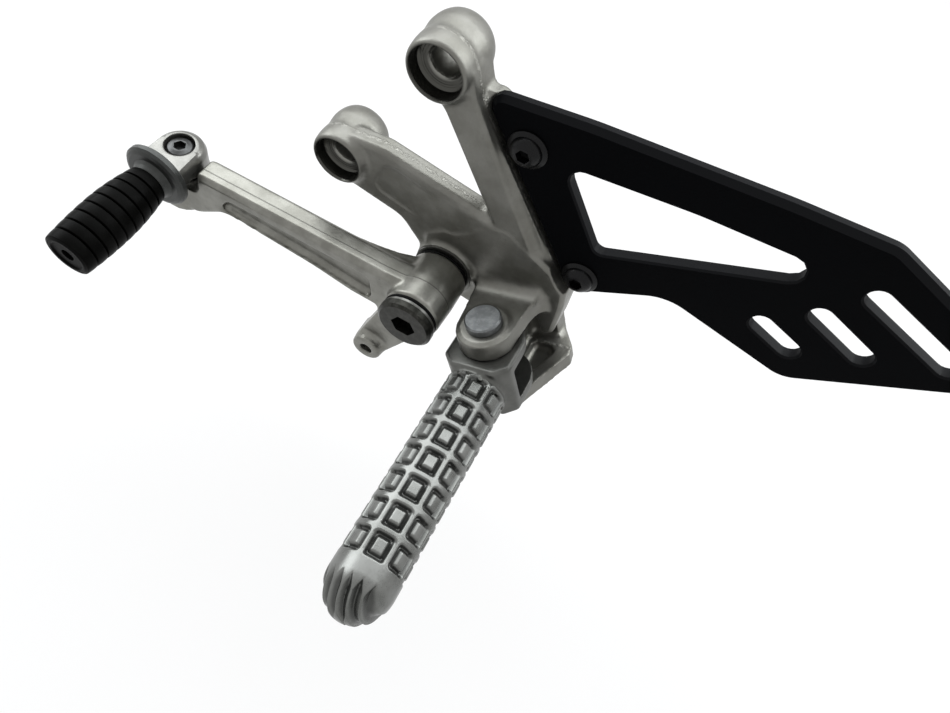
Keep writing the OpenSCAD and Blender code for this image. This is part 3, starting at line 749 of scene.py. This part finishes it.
def combine(piece: bpy.types.Object, other: bpy.types.Object, operation: str) -> None:
    """Gives a closed solid an exact Boolean step with another.

    Args:
        piece: The solid that changes.
        other: The solid that is joined to it, cut from it or intersected with it.
        operation: UNION, DIFFERENCE or INTERSECT.
    """
    step = piece.modifiers.new(operation.lower(), "BOOLEAN")
    step.operation = operation
    step.solver = "EXACT"
    step.object = other


def soft_copy(node: bpy.types.Object, name: str, voxel: float, passes: int, fillet: float,
              keep: tuple[Point, Point] | None = None, cutters: Sequence[bpy.types.Object] = (),
              added: Sequence[bpy.types.Object] = ()) -> bpy.types.Object:
    """A copy of a solid with its edges and corners softened as a mould leaves them.

    Args:
        node: The solid.
        name: The new piece's name.
        voxel: Size of the remeshed faces, in millimetres.
        passes: Smoothing passes.
        fillet: How far it swells and shrinks again, which leaves hollow fillets in its inner corners.
        keep: The lowest and highest corners of the part of it that is kept.
        cutters: Closed solids that cut sharp holes and faces afterwards.
        added: Closed solids joined to it first.

    Returns:
        The softened piece.
    """
    work = copy_of(node, name + "_work")
    helpers = [*cutters, *added]
    for more in added:
        combine(work, more, "UNION")
    if keep:
        block = block_between(name + "_keep", *keep)
        helpers.append(block)
        combine(work, block, "INTERSECT")
    for grow in (fillet, -fillet):
        remesh = work.modifiers.new("remesh", "REMESH")
        remesh.mode = "VOXEL"
        remesh.voxel_size = voxel * MM
        swell = work.modifiers.new("swell", "DISPLACE")
        swell.direction = "NORMAL"
        swell.mid_level = 0.0
        swell.strength = grow * MM
    smooth = work.modifiers.new("soften", "SMOOTH")
    smooth.factor = 0.5
    smooth.iterations = passes
    for cutter in cutters:
        combine(work, cutter, "DIFFERENCE")
    made = baked(work, name)
    for helper in helpers:
        bpy.data.objects.remove(helper)
    shade(made.data, 42.0)
    return made


def hull_of(name: str, points: Sequence[Point]) -> bpy.types.Object:
    """The closed solid that stretches round some points.

    Args:
        name: Its name.
        points: The points, in millimetres.

    Returns:
        The solid.
    """
    work = bmesh.new()
    for point in points:
        work.verts.new(Vector(point) * MM)
    bmesh.ops.convex_hull(work, input=work.verts)
    return solid_from(work, name)


def block_between(name: str, low: Point, high: Point) -> bpy.types.Object:
    """A closed box between two corners.

    Args:
        name: Its name.
        low: The lowest corner, in millimetres.
        high: The highest corner.

    Returns:
        The box.
    """
    work = bmesh.new()
    bmesh.ops.create_cube(work, size=1.0)
    for vert in work.verts:
        vert.co = Vector([(low[i] if vert.co[i] < 0 else high[i]) * MM for i in range(3)])
    return solid_from(work, name)


def turned(name: str, at: Spot, profile: Sequence[Spot], sides: int = 96) -> bpy.types.Object:
    """A closed turned solid about an axis along Y.

    Args:
        name: Its name.
        at: X and Z of the axis, in millimetres.
        profile: Radius and Y, with a radius of 0 at both ends.
        sides: Faces round it.

    Returns:
        The solid.
    """
    verts: list[Point] = []
    rings: list[list[int]] = []
    for radius, y in profile:
        count = 1 if radius == 0 else sides
        rings.append(list(range(len(verts), len(verts) + count)))
        for k in range(count):
            a = 2 * math.pi * k / sides
            verts.append(((at[0] + radius * math.cos(a)) * MM, y * MM, (at[1] + radius * math.sin(a)) * MM))
    faces: list[tuple[int, ...]] = []
    for one, two in zip(rings, rings[1:]):
        for k in range(sides):
            j = (k + 1) % sides
            faces.append(tuple(dict.fromkeys((one[k % len(one)], one[j % len(one)],
                                              two[j % len(two)], two[k % len(two)]))))
    mesh = bpy.data.meshes.new(name)
    mesh.from_pydata(verts, [], [f for f in faces if len(f) > 2])
    outwards(mesh)
    return piece_from(mesh, name)


def outwards(mesh: bpy.types.Mesh) -> None:
    """Merges a closed mesh's doubles and turns all its faces outwards.

    Args:
        mesh: The mesh.
    """
    work = bmesh.new()
    work.from_mesh(mesh)
    bmesh.ops.remove_doubles(work, verts=work.verts, dist=1e-7)
    bmesh.ops.recalc_face_normals(work, faces=work.faces)
    work.to_mesh(mesh)
    work.free()


# Pieces made by Geometry Nodes


Law = Callable[["Graph", Wire, Wire, dict[str, Wire]], tuple[Wire, Wire, Wire]]


class Grown:
    """A geometry tree with named inputs, run once and turned into a plain mesh."""

    def __init__(self, name: str, sizes: dict[str, float]) -> None:
        """Starts the tree.

        Args:
            name: The piece's name.
            sizes: The tree's named inputs.
        """
        self.name = name
        self.sizes = sizes
        self.tree = bpy.data.node_groups.new(name + "_tree", "GeometryNodeTree")
        for way in ("INPUT", "OUTPUT"):
            self.tree.interface.new_socket("Geometry", in_out=way, socket_type="NodeSocketGeometry")
        self.keys: dict[str, str] = {}
        for label in sizes:
            made = self.tree.interface.new_socket(label, in_out="INPUT", socket_type="NodeSocketFloat")
            self.keys[label] = made.identifier
        self.graph = Graph(self.tree)
        start = self.tree.nodes.new("NodeGroupInput")
        self.geometry = Wire(self.graph, start.outputs["Geometry"])
        self.inputs = {label: Wire(self.graph, start.outputs[label]) for label in sizes}

    def finish(self, shape: Wire, look: Look, angle: float,
               base: bpy.types.Mesh | None = None) -> bpy.types.Object:
        """Runs the tree.

        Args:
            shape: The geometry to keep.
            look: Its finish.
            angle: The angle over which its edges stay sharp, in degrees.
            base: The mesh that the tree starts from, if it needs one.

        Returns:
            The plain piece.
        """
        real = self.graph.add("GeometryNodeRealizeInstances", None, {"Geometry": shape})
        dressed = self.graph.add("GeometryNodeSetMaterial", None, {"Geometry": real, "Material": look.made()})
        end = self.tree.nodes.new("NodeGroupOutput")
        self.tree.links.new(dressed.socket, end.inputs["Geometry"])
        work = piece_from(base or bpy.data.meshes.new(self.name), self.name + "_work")
        grown = work.modifiers.new("grown", "NODES")
        grown.node_group = self.tree
        for label, value in self.sizes.items():
            grown[self.keys[label]] = float(value)
        made = baked(work, self.name)
        outwards(made.data)
        shade(made.data, angle)
        return dress(made, look)


def skin(name: str, around: int, along: int, sizes: dict[str, float], law: Law, look: Look,
         angle: float) -> bpy.types.Object:
    """A closed skin whose shape follows a rule, as Geometry Nodes.

    Args:
        name: The piece's name.
        around: Faces round it.
        along: Faces along it.
        sizes: The tree's named inputs, in millimetres.
        law: Turns the way round and along, from 0 to 1, into a place in millimetres.
        look: Its finish.
        angle: The angle over which its edges stay sharp, in degrees.

    Returns:
        The skin.
    """
    tree = Grown(name, sizes)
    g = tree.graph
    grid = g.add("GeometryNodeMeshGrid", None,
                 {"Size X": 1.0, "Size Y": 1.0, "Vertices X": around + 1, "Vertices Y": along + 1}, "Mesh")
    x, y, _ = g.axes(g.add("GeometryNodeInputPosition"))
    place = law(g, x + 0.5, y + 0.5, tree.inputs)
    moved = g.add("GeometryNodeSetPosition", None, {"Geometry": grid, "Position": g.vector(*place)})
    closed = g.add("GeometryNodeMergeByDistance", None, {"Geometry": moved, "Distance": 2e-6})
    return tree.finish(closed, look, angle)


def rounded_box(dx: Wire, dy: Wire, half_x: Any, half_y: Any, radius: float) -> Wire:
    """Distance from a box with rounded corners, negative inside.

    Args:
        dx: Distance from its middle, across.
        dy: Distance from its middle, along.
        half_x: Half its width.
        half_y: Half its length.
        radius: The radius of its corners.

    Returns:
        The distance.
    """
    a = dx - half_x + radius
    b = dy - half_y + radius
    outside = (a.max(0.0) ** 2.0 + b.max(0.0) ** 2.0).sqrt()
    return outside + a.max(b).min(0.0) - radius


# The object


@dataclass
class Assembly:
    """What every sub-assembly has."""

    frame: dict[str, Any]

    def node(self, name: str) -> bpy.types.Object:
        """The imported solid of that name."""
        return self.frame["nodes"][name]

    def dress_node(self, name: str, look: Look) -> None:
        """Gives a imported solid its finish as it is.

        Args:
            name: The solid's name.
            look: Its finish.
        """
        dress(self.node(name), look)
        LOG.info("dressed %s as %s", name, look.name)

    def stand_in(self, piece: bpy.types.Object, body: str, slot: str, *nodes: str) -> None:
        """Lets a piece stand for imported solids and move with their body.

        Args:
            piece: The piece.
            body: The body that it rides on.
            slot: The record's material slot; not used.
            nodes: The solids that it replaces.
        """
        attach(piece, body)
        if nodes:
            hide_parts(*nodes)
        LOG.info("built %s with %d faces", piece.name, len(piece.data.polygons))


@dataclass
class Bracket(Assembly):
    """The casting with its frame bosses, arms and fork."""

    voxel: float = 0.5
    passes: int = 3
    fillet: float = 1.25
    hole_r: float = 4.5
    hole_chamfer: float = 0.6
    counterbore_r: float = 8.0
    counterbore_depth: float = 5.5
    rim: tuple[Spot, ...] = ((2.1, -1.4), (0.35, 0.1), (0.0, 0.9))
    corner: float = 0.8
    dish: tuple[Spot, ...] = ((1.3, 0.1), (0.4, 0.5), (0.0, 1.3))
    past: float = 2.0
    recess: tuple[Spot, ...] = ((-14.0, -57.0), (-3.0, -60.6), (8.0, -62.6), (20.0, -60.5), (31.5, -46.5),
                                (25.5, -47.8), (-13.0, -43.0))
    recess_floor: float = -16.6
    recess_face: float = -18.25
    recess_reach: float = 17.0

    def run_out(self) -> bpy.types.Object:
        """The slope by which the front arm's recess runs out towards the fork.

        Returns:
            The solid that fills it.
        """
        low = min(corner[0] for corner in self.recess)
        slope = (self.recess_face - self.recess_floor) / (self.recess_reach - low)
        points: list[Point] = []
        for x, z in self.recess:
            face = max(self.recess_face, self.recess_floor + slope * (x - low))
            points += [(x, self.recess_floor + self.past, z), (x, face, z)]
        return hull_of("recess_run_out", points)

    def bolt_bore(self, at: Spot, name: str) -> bpy.types.Object:
        """The cutter of a frame bolt's hole, its counterbore and its broken edges.

        The rim's points are steps out from the counterbore and in from the boss's face. The dish's points
        are steps out from the hole and in from the counterbore's floor.

        Args:
            at: X and Z of the hole.
            name: The cutter's name.

        Returns:
            The cutter.
        """
        hole, wide = self.hole_r, self.counterbore_r
        floor = BOSS_FACE + self.counterbore_depth
        rim = [(wide + out, BOSS_FACE + inward) for out, inward in self.rim]
        dish = [(hole + out, floor + inward) for out, inward in self.dish]
        foot = hole + self.hole_chamfer
        return turned(name, at, [
            (0, BOSS_FACE - self.past), *rim, (wide, floor - self.corner), (wide - self.corner, floor), *dish,
            (hole, -self.hole_chamfer), (foot, 0.0), (foot, self.past), (0, self.past)])

    def build(self) -> None:
        """Builds the casting."""
        bores = [self.bolt_bore(at, f"bolt_bore_{i}") for i, at in enumerate(FRAME_BOSSES)]
        casting = soft_copy(self.node("hanger"), "hanger_casting", self.voxel, self.passes, self.fillet,
                            cutters=bores, added=[self.run_out()])
        dress(casting, Look.CASTING)
        self.stand_in(casting, "bracket", "cast_aluminium", "hanger")


@dataclass
class HeelGuard(Assembly):
    """The black plate that keeps the heel off the wheel, and its two screws."""

    face: float = -14.0
    head_r: float = 4.95
    head_h: float = 4.1
    head_flat: float = 0.35
    dome_foot: float = 1.3
    neck: tuple[Spot, ...] = ((0.05, -1.15), (0.3, -1.0))
    flange_r: float = 6.3
    flange: tuple[Spot, ...] = ((-0.25, -0.72), (0.0, -0.5), (0.0, -0.05), (-0.1, 0.0))
    socket: float = 4.0
    socket_depth: float = 3.0
    socket_point: float = 0.6
    shank_r: float = 3.0
    shank_end: float = -5.5
    places: tuple[Spot, ...] = ((29.2, -14.4), (58.5, -53.0))

    def screw(self) -> bpy.types.Mesh:
        """One button screw with a flange and a hex socket, its seat at the origin.

        The neck and the flange are given as steps past their own radius, with their Y.

        Returns:
            Its mesh, head towards -Y.
        """
        turns = [math.radians(angle) for angle in range(30, 91, 10)]
        dome = [(self.head_r * math.sin(a), -self.head_h + (self.head_h - self.dome_foot) * (1 - math.cos(a)))
                for a in turns]
        neck = [(self.head_r + out, y) for out, y in self.neck]
        flange = [(self.flange_r + out, y) for out, y in self.flange]
        shank = self.shank_end - self.face
        head = turned("guard_screw_head", (0.0, 0.0), [
            (0, -self.head_h + self.head_flat), *dome, *neck, *flange,
            (self.shank_r, 0.0), (self.shank_r, shank), (0, shank)], 64)
        corner, top, bottom = self.socket / HEXAGON, -self.head_h - 1, -self.head_h + self.socket_depth
        socket = turned("guard_screw_socket", (0.0, 0.0), [
            (0, top), (corner, top), (corner, bottom), (0, bottom + self.socket_point)], 6)
        combine(head, socket, "DIFFERENCE")
        made = baked(head, "guard_screw")
        bpy.data.objects.remove(socket)
        mesh = made.data
        bpy.data.objects.remove(made)
        return mesh

    def screws(self) -> bpy.types.Object:
        """Both screws, as instances along the line between them.

        Returns:
            The two screws in one piece.
        """
        (x0, z0), (x1, z1) = self.places
        tree = Grown("guard_screws", {"First X": x0, "First Z": z0, "Step X": x1 - x0, "Step Z": z1 - z0,
                                      "Seat Y": self.face})
        g, size = tree.graph, tree.inputs
        start = g.vector(size["First X"], size["Seat Y"], size["First Z"])
        step = g.vector(size["Step X"], 0.0, size["Step Z"])
        line = g.add("GeometryNodeMeshLine", None,
                     {"Count": len(self.places), "Start Location": start, "Offset": step})
        screws = g.add("GeometryNodeInstanceOnPoints", None, {"Points": line, "Instance": tree.geometry})
        return tree.finish(screws, Look.GUARD_SCREW, 32.0, self.screw())

    def build(self) -> None:
        """Builds the plate, with its round corners shaded round, and its screws."""
        plate = baked(copy_of(self.node("heel_guard"), "heel_guard_work"), "heel_guard_plate")
        shade(plate.data, 40.0)
        dress(plate, Look.GUARD)
        self.stand_in(plate, "bracket", "guard_black", "heel_guard")
        self.stand_in(self.screws(), "bracket", "black_screw", "guard_screw_upper", "guard_screw_lower")


@dataclass
class GearLever(Assembly):
    """The forged lever on its pivot bolt."""

    voxel: float = 0.42
    passes: int = 4
    fillet: float = 1.2

    def build(self) -> None:
        """Builds the lever and dresses its pivot."""
        lever = soft_copy(self.node("gear_lever"), "gear_lever_forging", self.voxel, self.passes,
                          self.fillet)
        dress(lever, Look.LEVER)
        self.stand_in(lever, "lever", "forged_aluminium", "gear_lever")
        for name, look in (("lever_bush", Look.BUSH), ("lever_pivot_bolt", Look.PIVOT_BOLT),
                           ("lever_outer_washer", Look.WASHER), ("lever_inner_washer", Look.WASHER),
                           ("lever_outer_seal", Look.SEAL), ("lever_inner_seal", Look.SEAL)):
            self.dress_node(name, look)


@dataclass
class ToePeg(Assembly):
    """The folding toe peg on the lever's end.

    The body's share, the waist and the groove's start are shares of the way along, of the body and of a band.
    """

    at: Spot = (-86.2, -72.1)
    rubber_start: float = -49.2
    rubber_length: float = 38.0
    rubber_r: float = 8.8
    body_share: Span = (0.02, 0.86)
    waist: float = 0.52
    neck_drop: float = 2.1
    tip_drop: float = 0.95
    bands: int = 9
    band_crown: float = 0.12
    groove_from: float = 0.80
    groove_depth: float = 0.85
    hole_r: float = 2.0
    hole_depth: float = 3.6
    hole_edge: Span = (-0.25, 0.1)
    dish_r: Span = (6.0, 5.2)
    dish_depth: float = 0.55
    rim_r: Span = (6.4, 7.9)
    rim_round: float = 0.6
    hub_voxel: float = 0.3
    hub_passes: int = 4
    hub_fillet: float = 0.9

    def rubber(self) -> bpy.types.Object:
        """The banded rubber, as a skin that follows a rule.

        Returns:
            The rubber.
        """
        sizes = {"Start": self.rubber_start, "Length": self.rubber_length, "Radius": self.rubber_r,
                 "Bands": float(self.bands), "Hole Radius": self.hole_r, "Hole Depth": self.hole_depth}
        pole = 0.001

        def law(g: Graph, u: Wire, v: Wire, size: dict[str, Wire]) -> tuple[Wire, Wire, Wire]:
            """Bands of rubber on a barrel, and a dished end with a hole.

            Args:
                g: The skin's graph.
                u: The way round, from 0 to 1.
                v: The way along, from 0 at the flange to 1 in the hole.
                size: The tree's named inputs.

            Returns:
                X, Y and Z.
            """
            body = v.ramp(*self.body_share)
            end = v.ramp(self.body_share[1], 1.0)
            far = body - self.waist
            swell = (far.min(0.0) * (1 / self.waist)) ** 2.0 * self.neck_drop
            swell = swell + (far.max(0.0) * (1 / (1 - self.waist))) ** 2.0 * self.tip_drop
            phase = (body * size["Bands"]).off_middle() * 2.0
            crown = (1.0 - phase * phase) * self.band_crown
            radius = size["Radius"] - swell + crown - phase.step(self.groove_from, 1.0) * self.groove_depth
            radius = radius - end * (size["Radius"] - self.tip_drop)
            radius = radius.max(0.0) * v.above(pole) * (1.0 - v.above(1 - pole))
            hole = (size["Hole Radius"] - radius).step(*self.hole_edge) * size["Hole Depth"]
            dish = radius.step(*self.dish_r) * self.dish_depth
            rim = radius.step(*self.rim_r) * self.rim_round
            y = size["Start"] - body * size["Length"] + (hole + dish + rim) * end.above(0.0)
            turn = u * (2 * math.pi)
            return (radius * turn.cos() + self.at[0], y, radius * turn.sin() + self.at[1])

        return skin("toe_peg_rubber", 128, 420, sizes, law, Look.TOE_RUBBER, 50.0)

    def build(self) -> None:
        """Builds the rubber and dresses the rest of the toe peg."""
        self.stand_in(self.rubber(), "toe_peg", "toe_rubber", "toe_rubber")
        hub = soft_copy(self.node("toe_hub"), "toe_peg_hub", self.hub_voxel, self.hub_passes,
                        self.hub_fillet)
        dress(hub, Look.TOE_HUB)
        self.stand_in(hub, "toe_peg", "toe_aluminium", "toe_hub")
        for name, look in (("toe_flange", Look.FLANGE), ("toe_end_screw", Look.GUARD_SCREW),
                           ("toe_pivot_screw", Look.ZINC), ("toe_friction_washer", Look.FRICTION),
                           ("toe_detent_ball", Look.ZINC), ("toe_detent_spring", Look.SPRING)):
            self.dress_node(name, look)


@dataclass
class Footrest(Assembly):
    """The folding footrest bar on its pin.

    The straight part is a share of the way along, and the grooves start and end at angles of the rounded end.
    """

    bar_r: float = 11.0
    skin_out: float = 0.25
    start: float = -50.9
    straight_share: Span = (0.004, 0.86)
    first_pad: float = -55.4
    pitch: float = 9.95
    rows: int = 7
    columns: int = 8
    wall: Spot = (0.72, 0.95)
    moat: float = 1.55
    window_r: float = 1.3
    window_edge: Span = (0.35, -1.0)
    pad_r: float = 0.6
    pad_edge: Span = (1.0, -0.7)
    pad_height: float = 0.95
    collar: float = 1.9
    collar_flare: float = 0.10
    collar_edge: Span = (-1.5, -2.6)
    groove_pitch: float = 3.3
    groove_open: float = 0.88
    groove_round: float = 0.7
    groove_depth: float = 1.7
    groove_reach: Span = (10.6, 10.0)
    groove_start: Span = (0.0, 0.45)
    groove_end: Span = (1.53, 1.05)
    root_voxel: float = 0.33
    root_passes: int = 3
    root_fillet: float = 0.9
    root_overlap: float = 1.4
    root_low: Spot = (-50.0, -180.0)
    root_high: Point = (150.0, 10.0, 0.0)

    def grip(self) -> bpy.types.Object:
        """The ribbed grip: pads in windows round a bar, and a rounded end with lengthwise grooves.

        Returns:
            The grip.
        """
        sizes = {"Radius": self.bar_r, "Start": self.start, "Tip": BAR_TIP, "Dome": BAR_DOME,
                 "Pad Pitch": self.pitch, "Columns": float(self.columns), "Moat": self.moat,
                 "Groove Pitch": self.groove_pitch}
        lean, rise = math.cos(math.radians(BAR_TILT)), math.sin(math.radians(BAR_TILT))
        pole = 0.0005

        def law(g: Graph, u: Wire, v: Wire, size: dict[str, Wire]) -> tuple[Wire, Wire, Wire]:
            """A bar along Y with its pads, collar and rounded end, leaned about its axis.

            Args:
                g: The skin's graph.
                u: The way round, from 0 to 1.
                v: The way along, from 0 at the root to 1 at the tip.
                size: The tree's named inputs.

            Returns:
                X, Y and Z.
            """
            swing = v.ramp(self.straight_share[1], 1.0) * (math.pi / 2)
            y = size["Start"] - v.ramp(*self.straight_share) * (size["Start"] - size["Tip"] - size["Dome"])
            # Pads in their windows
            across = 2 * math.pi * size["Radius"] / size["Columns"]
            row = (self.first_pad - y) / size["Pad Pitch"] + 0.5
            dx = (u * size["Columns"]).off_middle() * across
            dy = row.off_middle() * size["Pad Pitch"]
            half_x = across * 0.5 - self.wall[0]
            half_y = size["Pad Pitch"] * 0.5 - self.wall[1]
            window = rounded_box(dx, dy, half_x, half_y, self.window_r).step(*self.window_edge)
            pad = rounded_box(dx, dy, half_x - size["Moat"], half_y - size["Moat"], self.pad_r)
            pad = pad.step(*self.pad_edge)
            height = window * (pad * self.pad_height - 1.0) * size["Moat"]
            height = height * row.above(0.0) * (1.0 - row.above(float(self.rows)))
            # The collar, and the grooves of the rounded end
            past_start = y - size["Start"]
            collar = (past_start + self.collar).max(0.0)
            radius = size["Radius"] * swing.cos() + height - collar * collar * self.collar_flare
            radius = radius + (1.0 - past_start.step(*self.collar_edge)) * self.skin_out
            turn = u * (2 * math.pi)
            side = radius * turn.sin()
            comb = (side / size["Groove Pitch"]).off_middle() * 2.0
            room = swing.step(*self.groove_start) * swing.step(*self.groove_end)
            cut = (room * self.groove_open - comb).max(0.0) ** self.groove_round * self.groove_depth
            cut = cut * abs(side).step(*self.groove_reach)
            ring = (size["Dome"] - cut) * swing.sin()
            radius = (radius - cut * swing.cos()).max(0.0) * v.above(pole) * (1.0 - v.above(1 - pole))
            x = radius * turn.sin()
            z = radius * turn.cos()
            return (x * lean - z * rise + BAR_AXIS[0], y - ring, x * rise + z * lean + BAR_AXIS[1])

        return skin("footrest_grip", 264, 356, sizes, law, Look.BAR, 60.0)

    def root(self) -> bpy.types.Object:
        """The cast root between the lugs, from the solid's own root.

        Returns:
            The root, which reaches a little into the grip.
        """
        low = (self.root_low[0], self.start - self.root_overlap, self.root_low[1])
        return soft_copy(self.node("footrest_bar"), "footrest_root", self.root_voxel, self.root_passes,
                         self.root_fillet, keep=(low, self.root_high))

    def build(self) -> None:
        """Builds the footrest and dresses its pin."""
        for piece in (dress(self.root(), Look.BAR_ROOT), self.grip()):
            self.stand_in(piece, "footrest", "bar_aluminium", "footrest_bar")
        for name, look in (("footrest_pin", Look.PIN), ("footrest_spring", Look.SPRING),
                           ("pin_washer", Look.WASHER), ("pin_clip", Look.CLIP)):
            self.dress_node(name, look)


# The studio


@dataclass(frozen=True)
class Lamp:
    """A rectangular lamp. Its width and height are in metres and its power is in watts."""

    name: str
    place: Point
    aim: Point
    size: Span
    power: float


@dataclass
class Studio:
    """Camera, lamps and floor."""

    eye: Point = (63.9, -169.0, 130.2)
    right: Point = (0.875, 0.453, 0.171)
    back: Point = (0.097, -0.511, 0.854)
    lens: float = 27.51
    sensor: float = 36.0
    clip: Span = (0.005, 20.0)
    lamp_colour: Colour = (0.95, 0.98, 1.0)
    lamps: tuple[Lamp, ...] = (
        Lamp("overhead", (-10.0, 330.0, 560.0), (0.0, -40.0, -60.0), (1.25, 0.52), 7.2),
        Lamp("far", (520.0, 330.0, 300.0), (20.0, -50.0, -60.0), (0.40, 0.40), 2.2),
        Lamp("side", (-540.0, 60.0, 215.0), (-20.0, -50.0, -60.0), (0.40, 0.40), 2.3))
    white: Colour = (1.0, 1.0, 1.0)
    room_light: float = 0.28
    floor_z: float = -190.0
    floor_half: float = 3.0
    floor_colour: Colour = (0.92, 0.92, 0.92)
    floor_glow: float = 0.8

    def camera(self) -> None:
        """Puts the camera where the photograph was taken from."""
        data = bpy.data.cameras.new("camera")
        data.lens = self.lens
        data.sensor_width = self.sensor
        data.sensor_fit = "HORIZONTAL"
        data.clip_start, data.clip_end = self.clip
        seat = bpy.data.objects.new("camera", data)
        bpy.context.scene.collection.objects.link(seat)
        z = Vector(self.back).normalized()
        x = (Vector(self.right) - z * Vector(self.right).dot(z)).normalized()
        y = z.cross(x)
        turn = Matrix((x, y, z)).transposed().to_4x4()
        seat.matrix_world = Matrix.Translation(Vector(self.eye) * MM) @ turn
        bpy.context.scene.camera = seat

    def light(self) -> None:
        """Sets up the lamps."""
        for lamp in self.lamps:
            data = bpy.data.lights.new(lamp.name, "AREA")
            data.shape = "RECTANGLE"
            data.size, data.size_y = lamp.size
            data.energy = lamp.power
            data.color = self.lamp_colour
            made = bpy.data.objects.new(lamp.name, data)
            bpy.context.scene.collection.objects.link(made)
            way = (Vector(lamp.aim) - Vector(lamp.place)).normalized()
            turn = way.to_track_quat("-Z", "Y").to_matrix().to_4x4()
            made.matrix_world = Matrix.Translation(Vector(lamp.place) * MM) @ turn

    def surroundings(self) -> None:
        """A white room and a pale floor that keeps the shadow."""
        world = bpy.data.worlds.new("room")
        bpy.context.scene.world = world
        g = emptied(world)
        strength = self.room_light + self.seen(g) * (1.0 - self.room_light)
        shader = g.add("ShaderNodeBackground", None, {"Color": self.white, "Strength": strength})
        g.add("ShaderNodeOutputWorld", None, {"Surface": shader})
        work = bmesh.new()
        bmesh.ops.create_grid(work, x_segments=1, y_segments=1, size=self.floor_half)
        floor = solid_from(work, "floor")
        floor.location.z = self.floor_z * MM
        material = bpy.data.materials.new("pale_floor")
        g = emptied(material)
        matt = g.add("ShaderNodeBsdfDiffuse", None, {"Color": self.floor_colour})
        glow = g.add("ShaderNodeEmission", None, {"Color": self.white, "Strength": 1.0})
        both = g.add("ShaderNodeMixShader", None, {0: self.seen(g) * self.floor_glow, 1: matt, 2: glow})
        g.add("ShaderNodeOutputMaterial", None, {"Surface": both})
        floor.data.materials.append(material)

    @staticmethod
    def seen(g: Graph) -> Wire:
        """Tells the rays that see the background from those that light the object.

        Args:
            g: A world's or a material's graph.

        Returns:
            1 for camera, glossy and transmission rays, and 0 for the others.
        """
        path = g.add("ShaderNodeLightPath")
        outputs = path.socket.node.outputs
        camera, glossy, through = (Wire(g, outputs[n]) for n in
                                   ("Is Camera Ray", "Is Glossy Ray", "Is Transmission Ray"))
        return (camera + glossy + through).min(1.0)

    def build(self) -> None:
        """Builds the studio."""
        self.camera()
        self.light()
        self.surroundings()
        bpy.context.scene.view_settings.view_transform = "Standard"


def main() -> None:
    """Builds the studio and the sub-assemblies."""
    logging.basicConfig(level=logging.INFO, format="%(name)s: %(message)s")
    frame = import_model()
    Studio().build()
    for kind in (Bracket, HeelGuard, GearLever, ToePeg, Footrest):
        part = kind(frame)
        part.build()
        LOG.info("%s is done", kind.__name__)


if __name__ == "__main__":
    main()
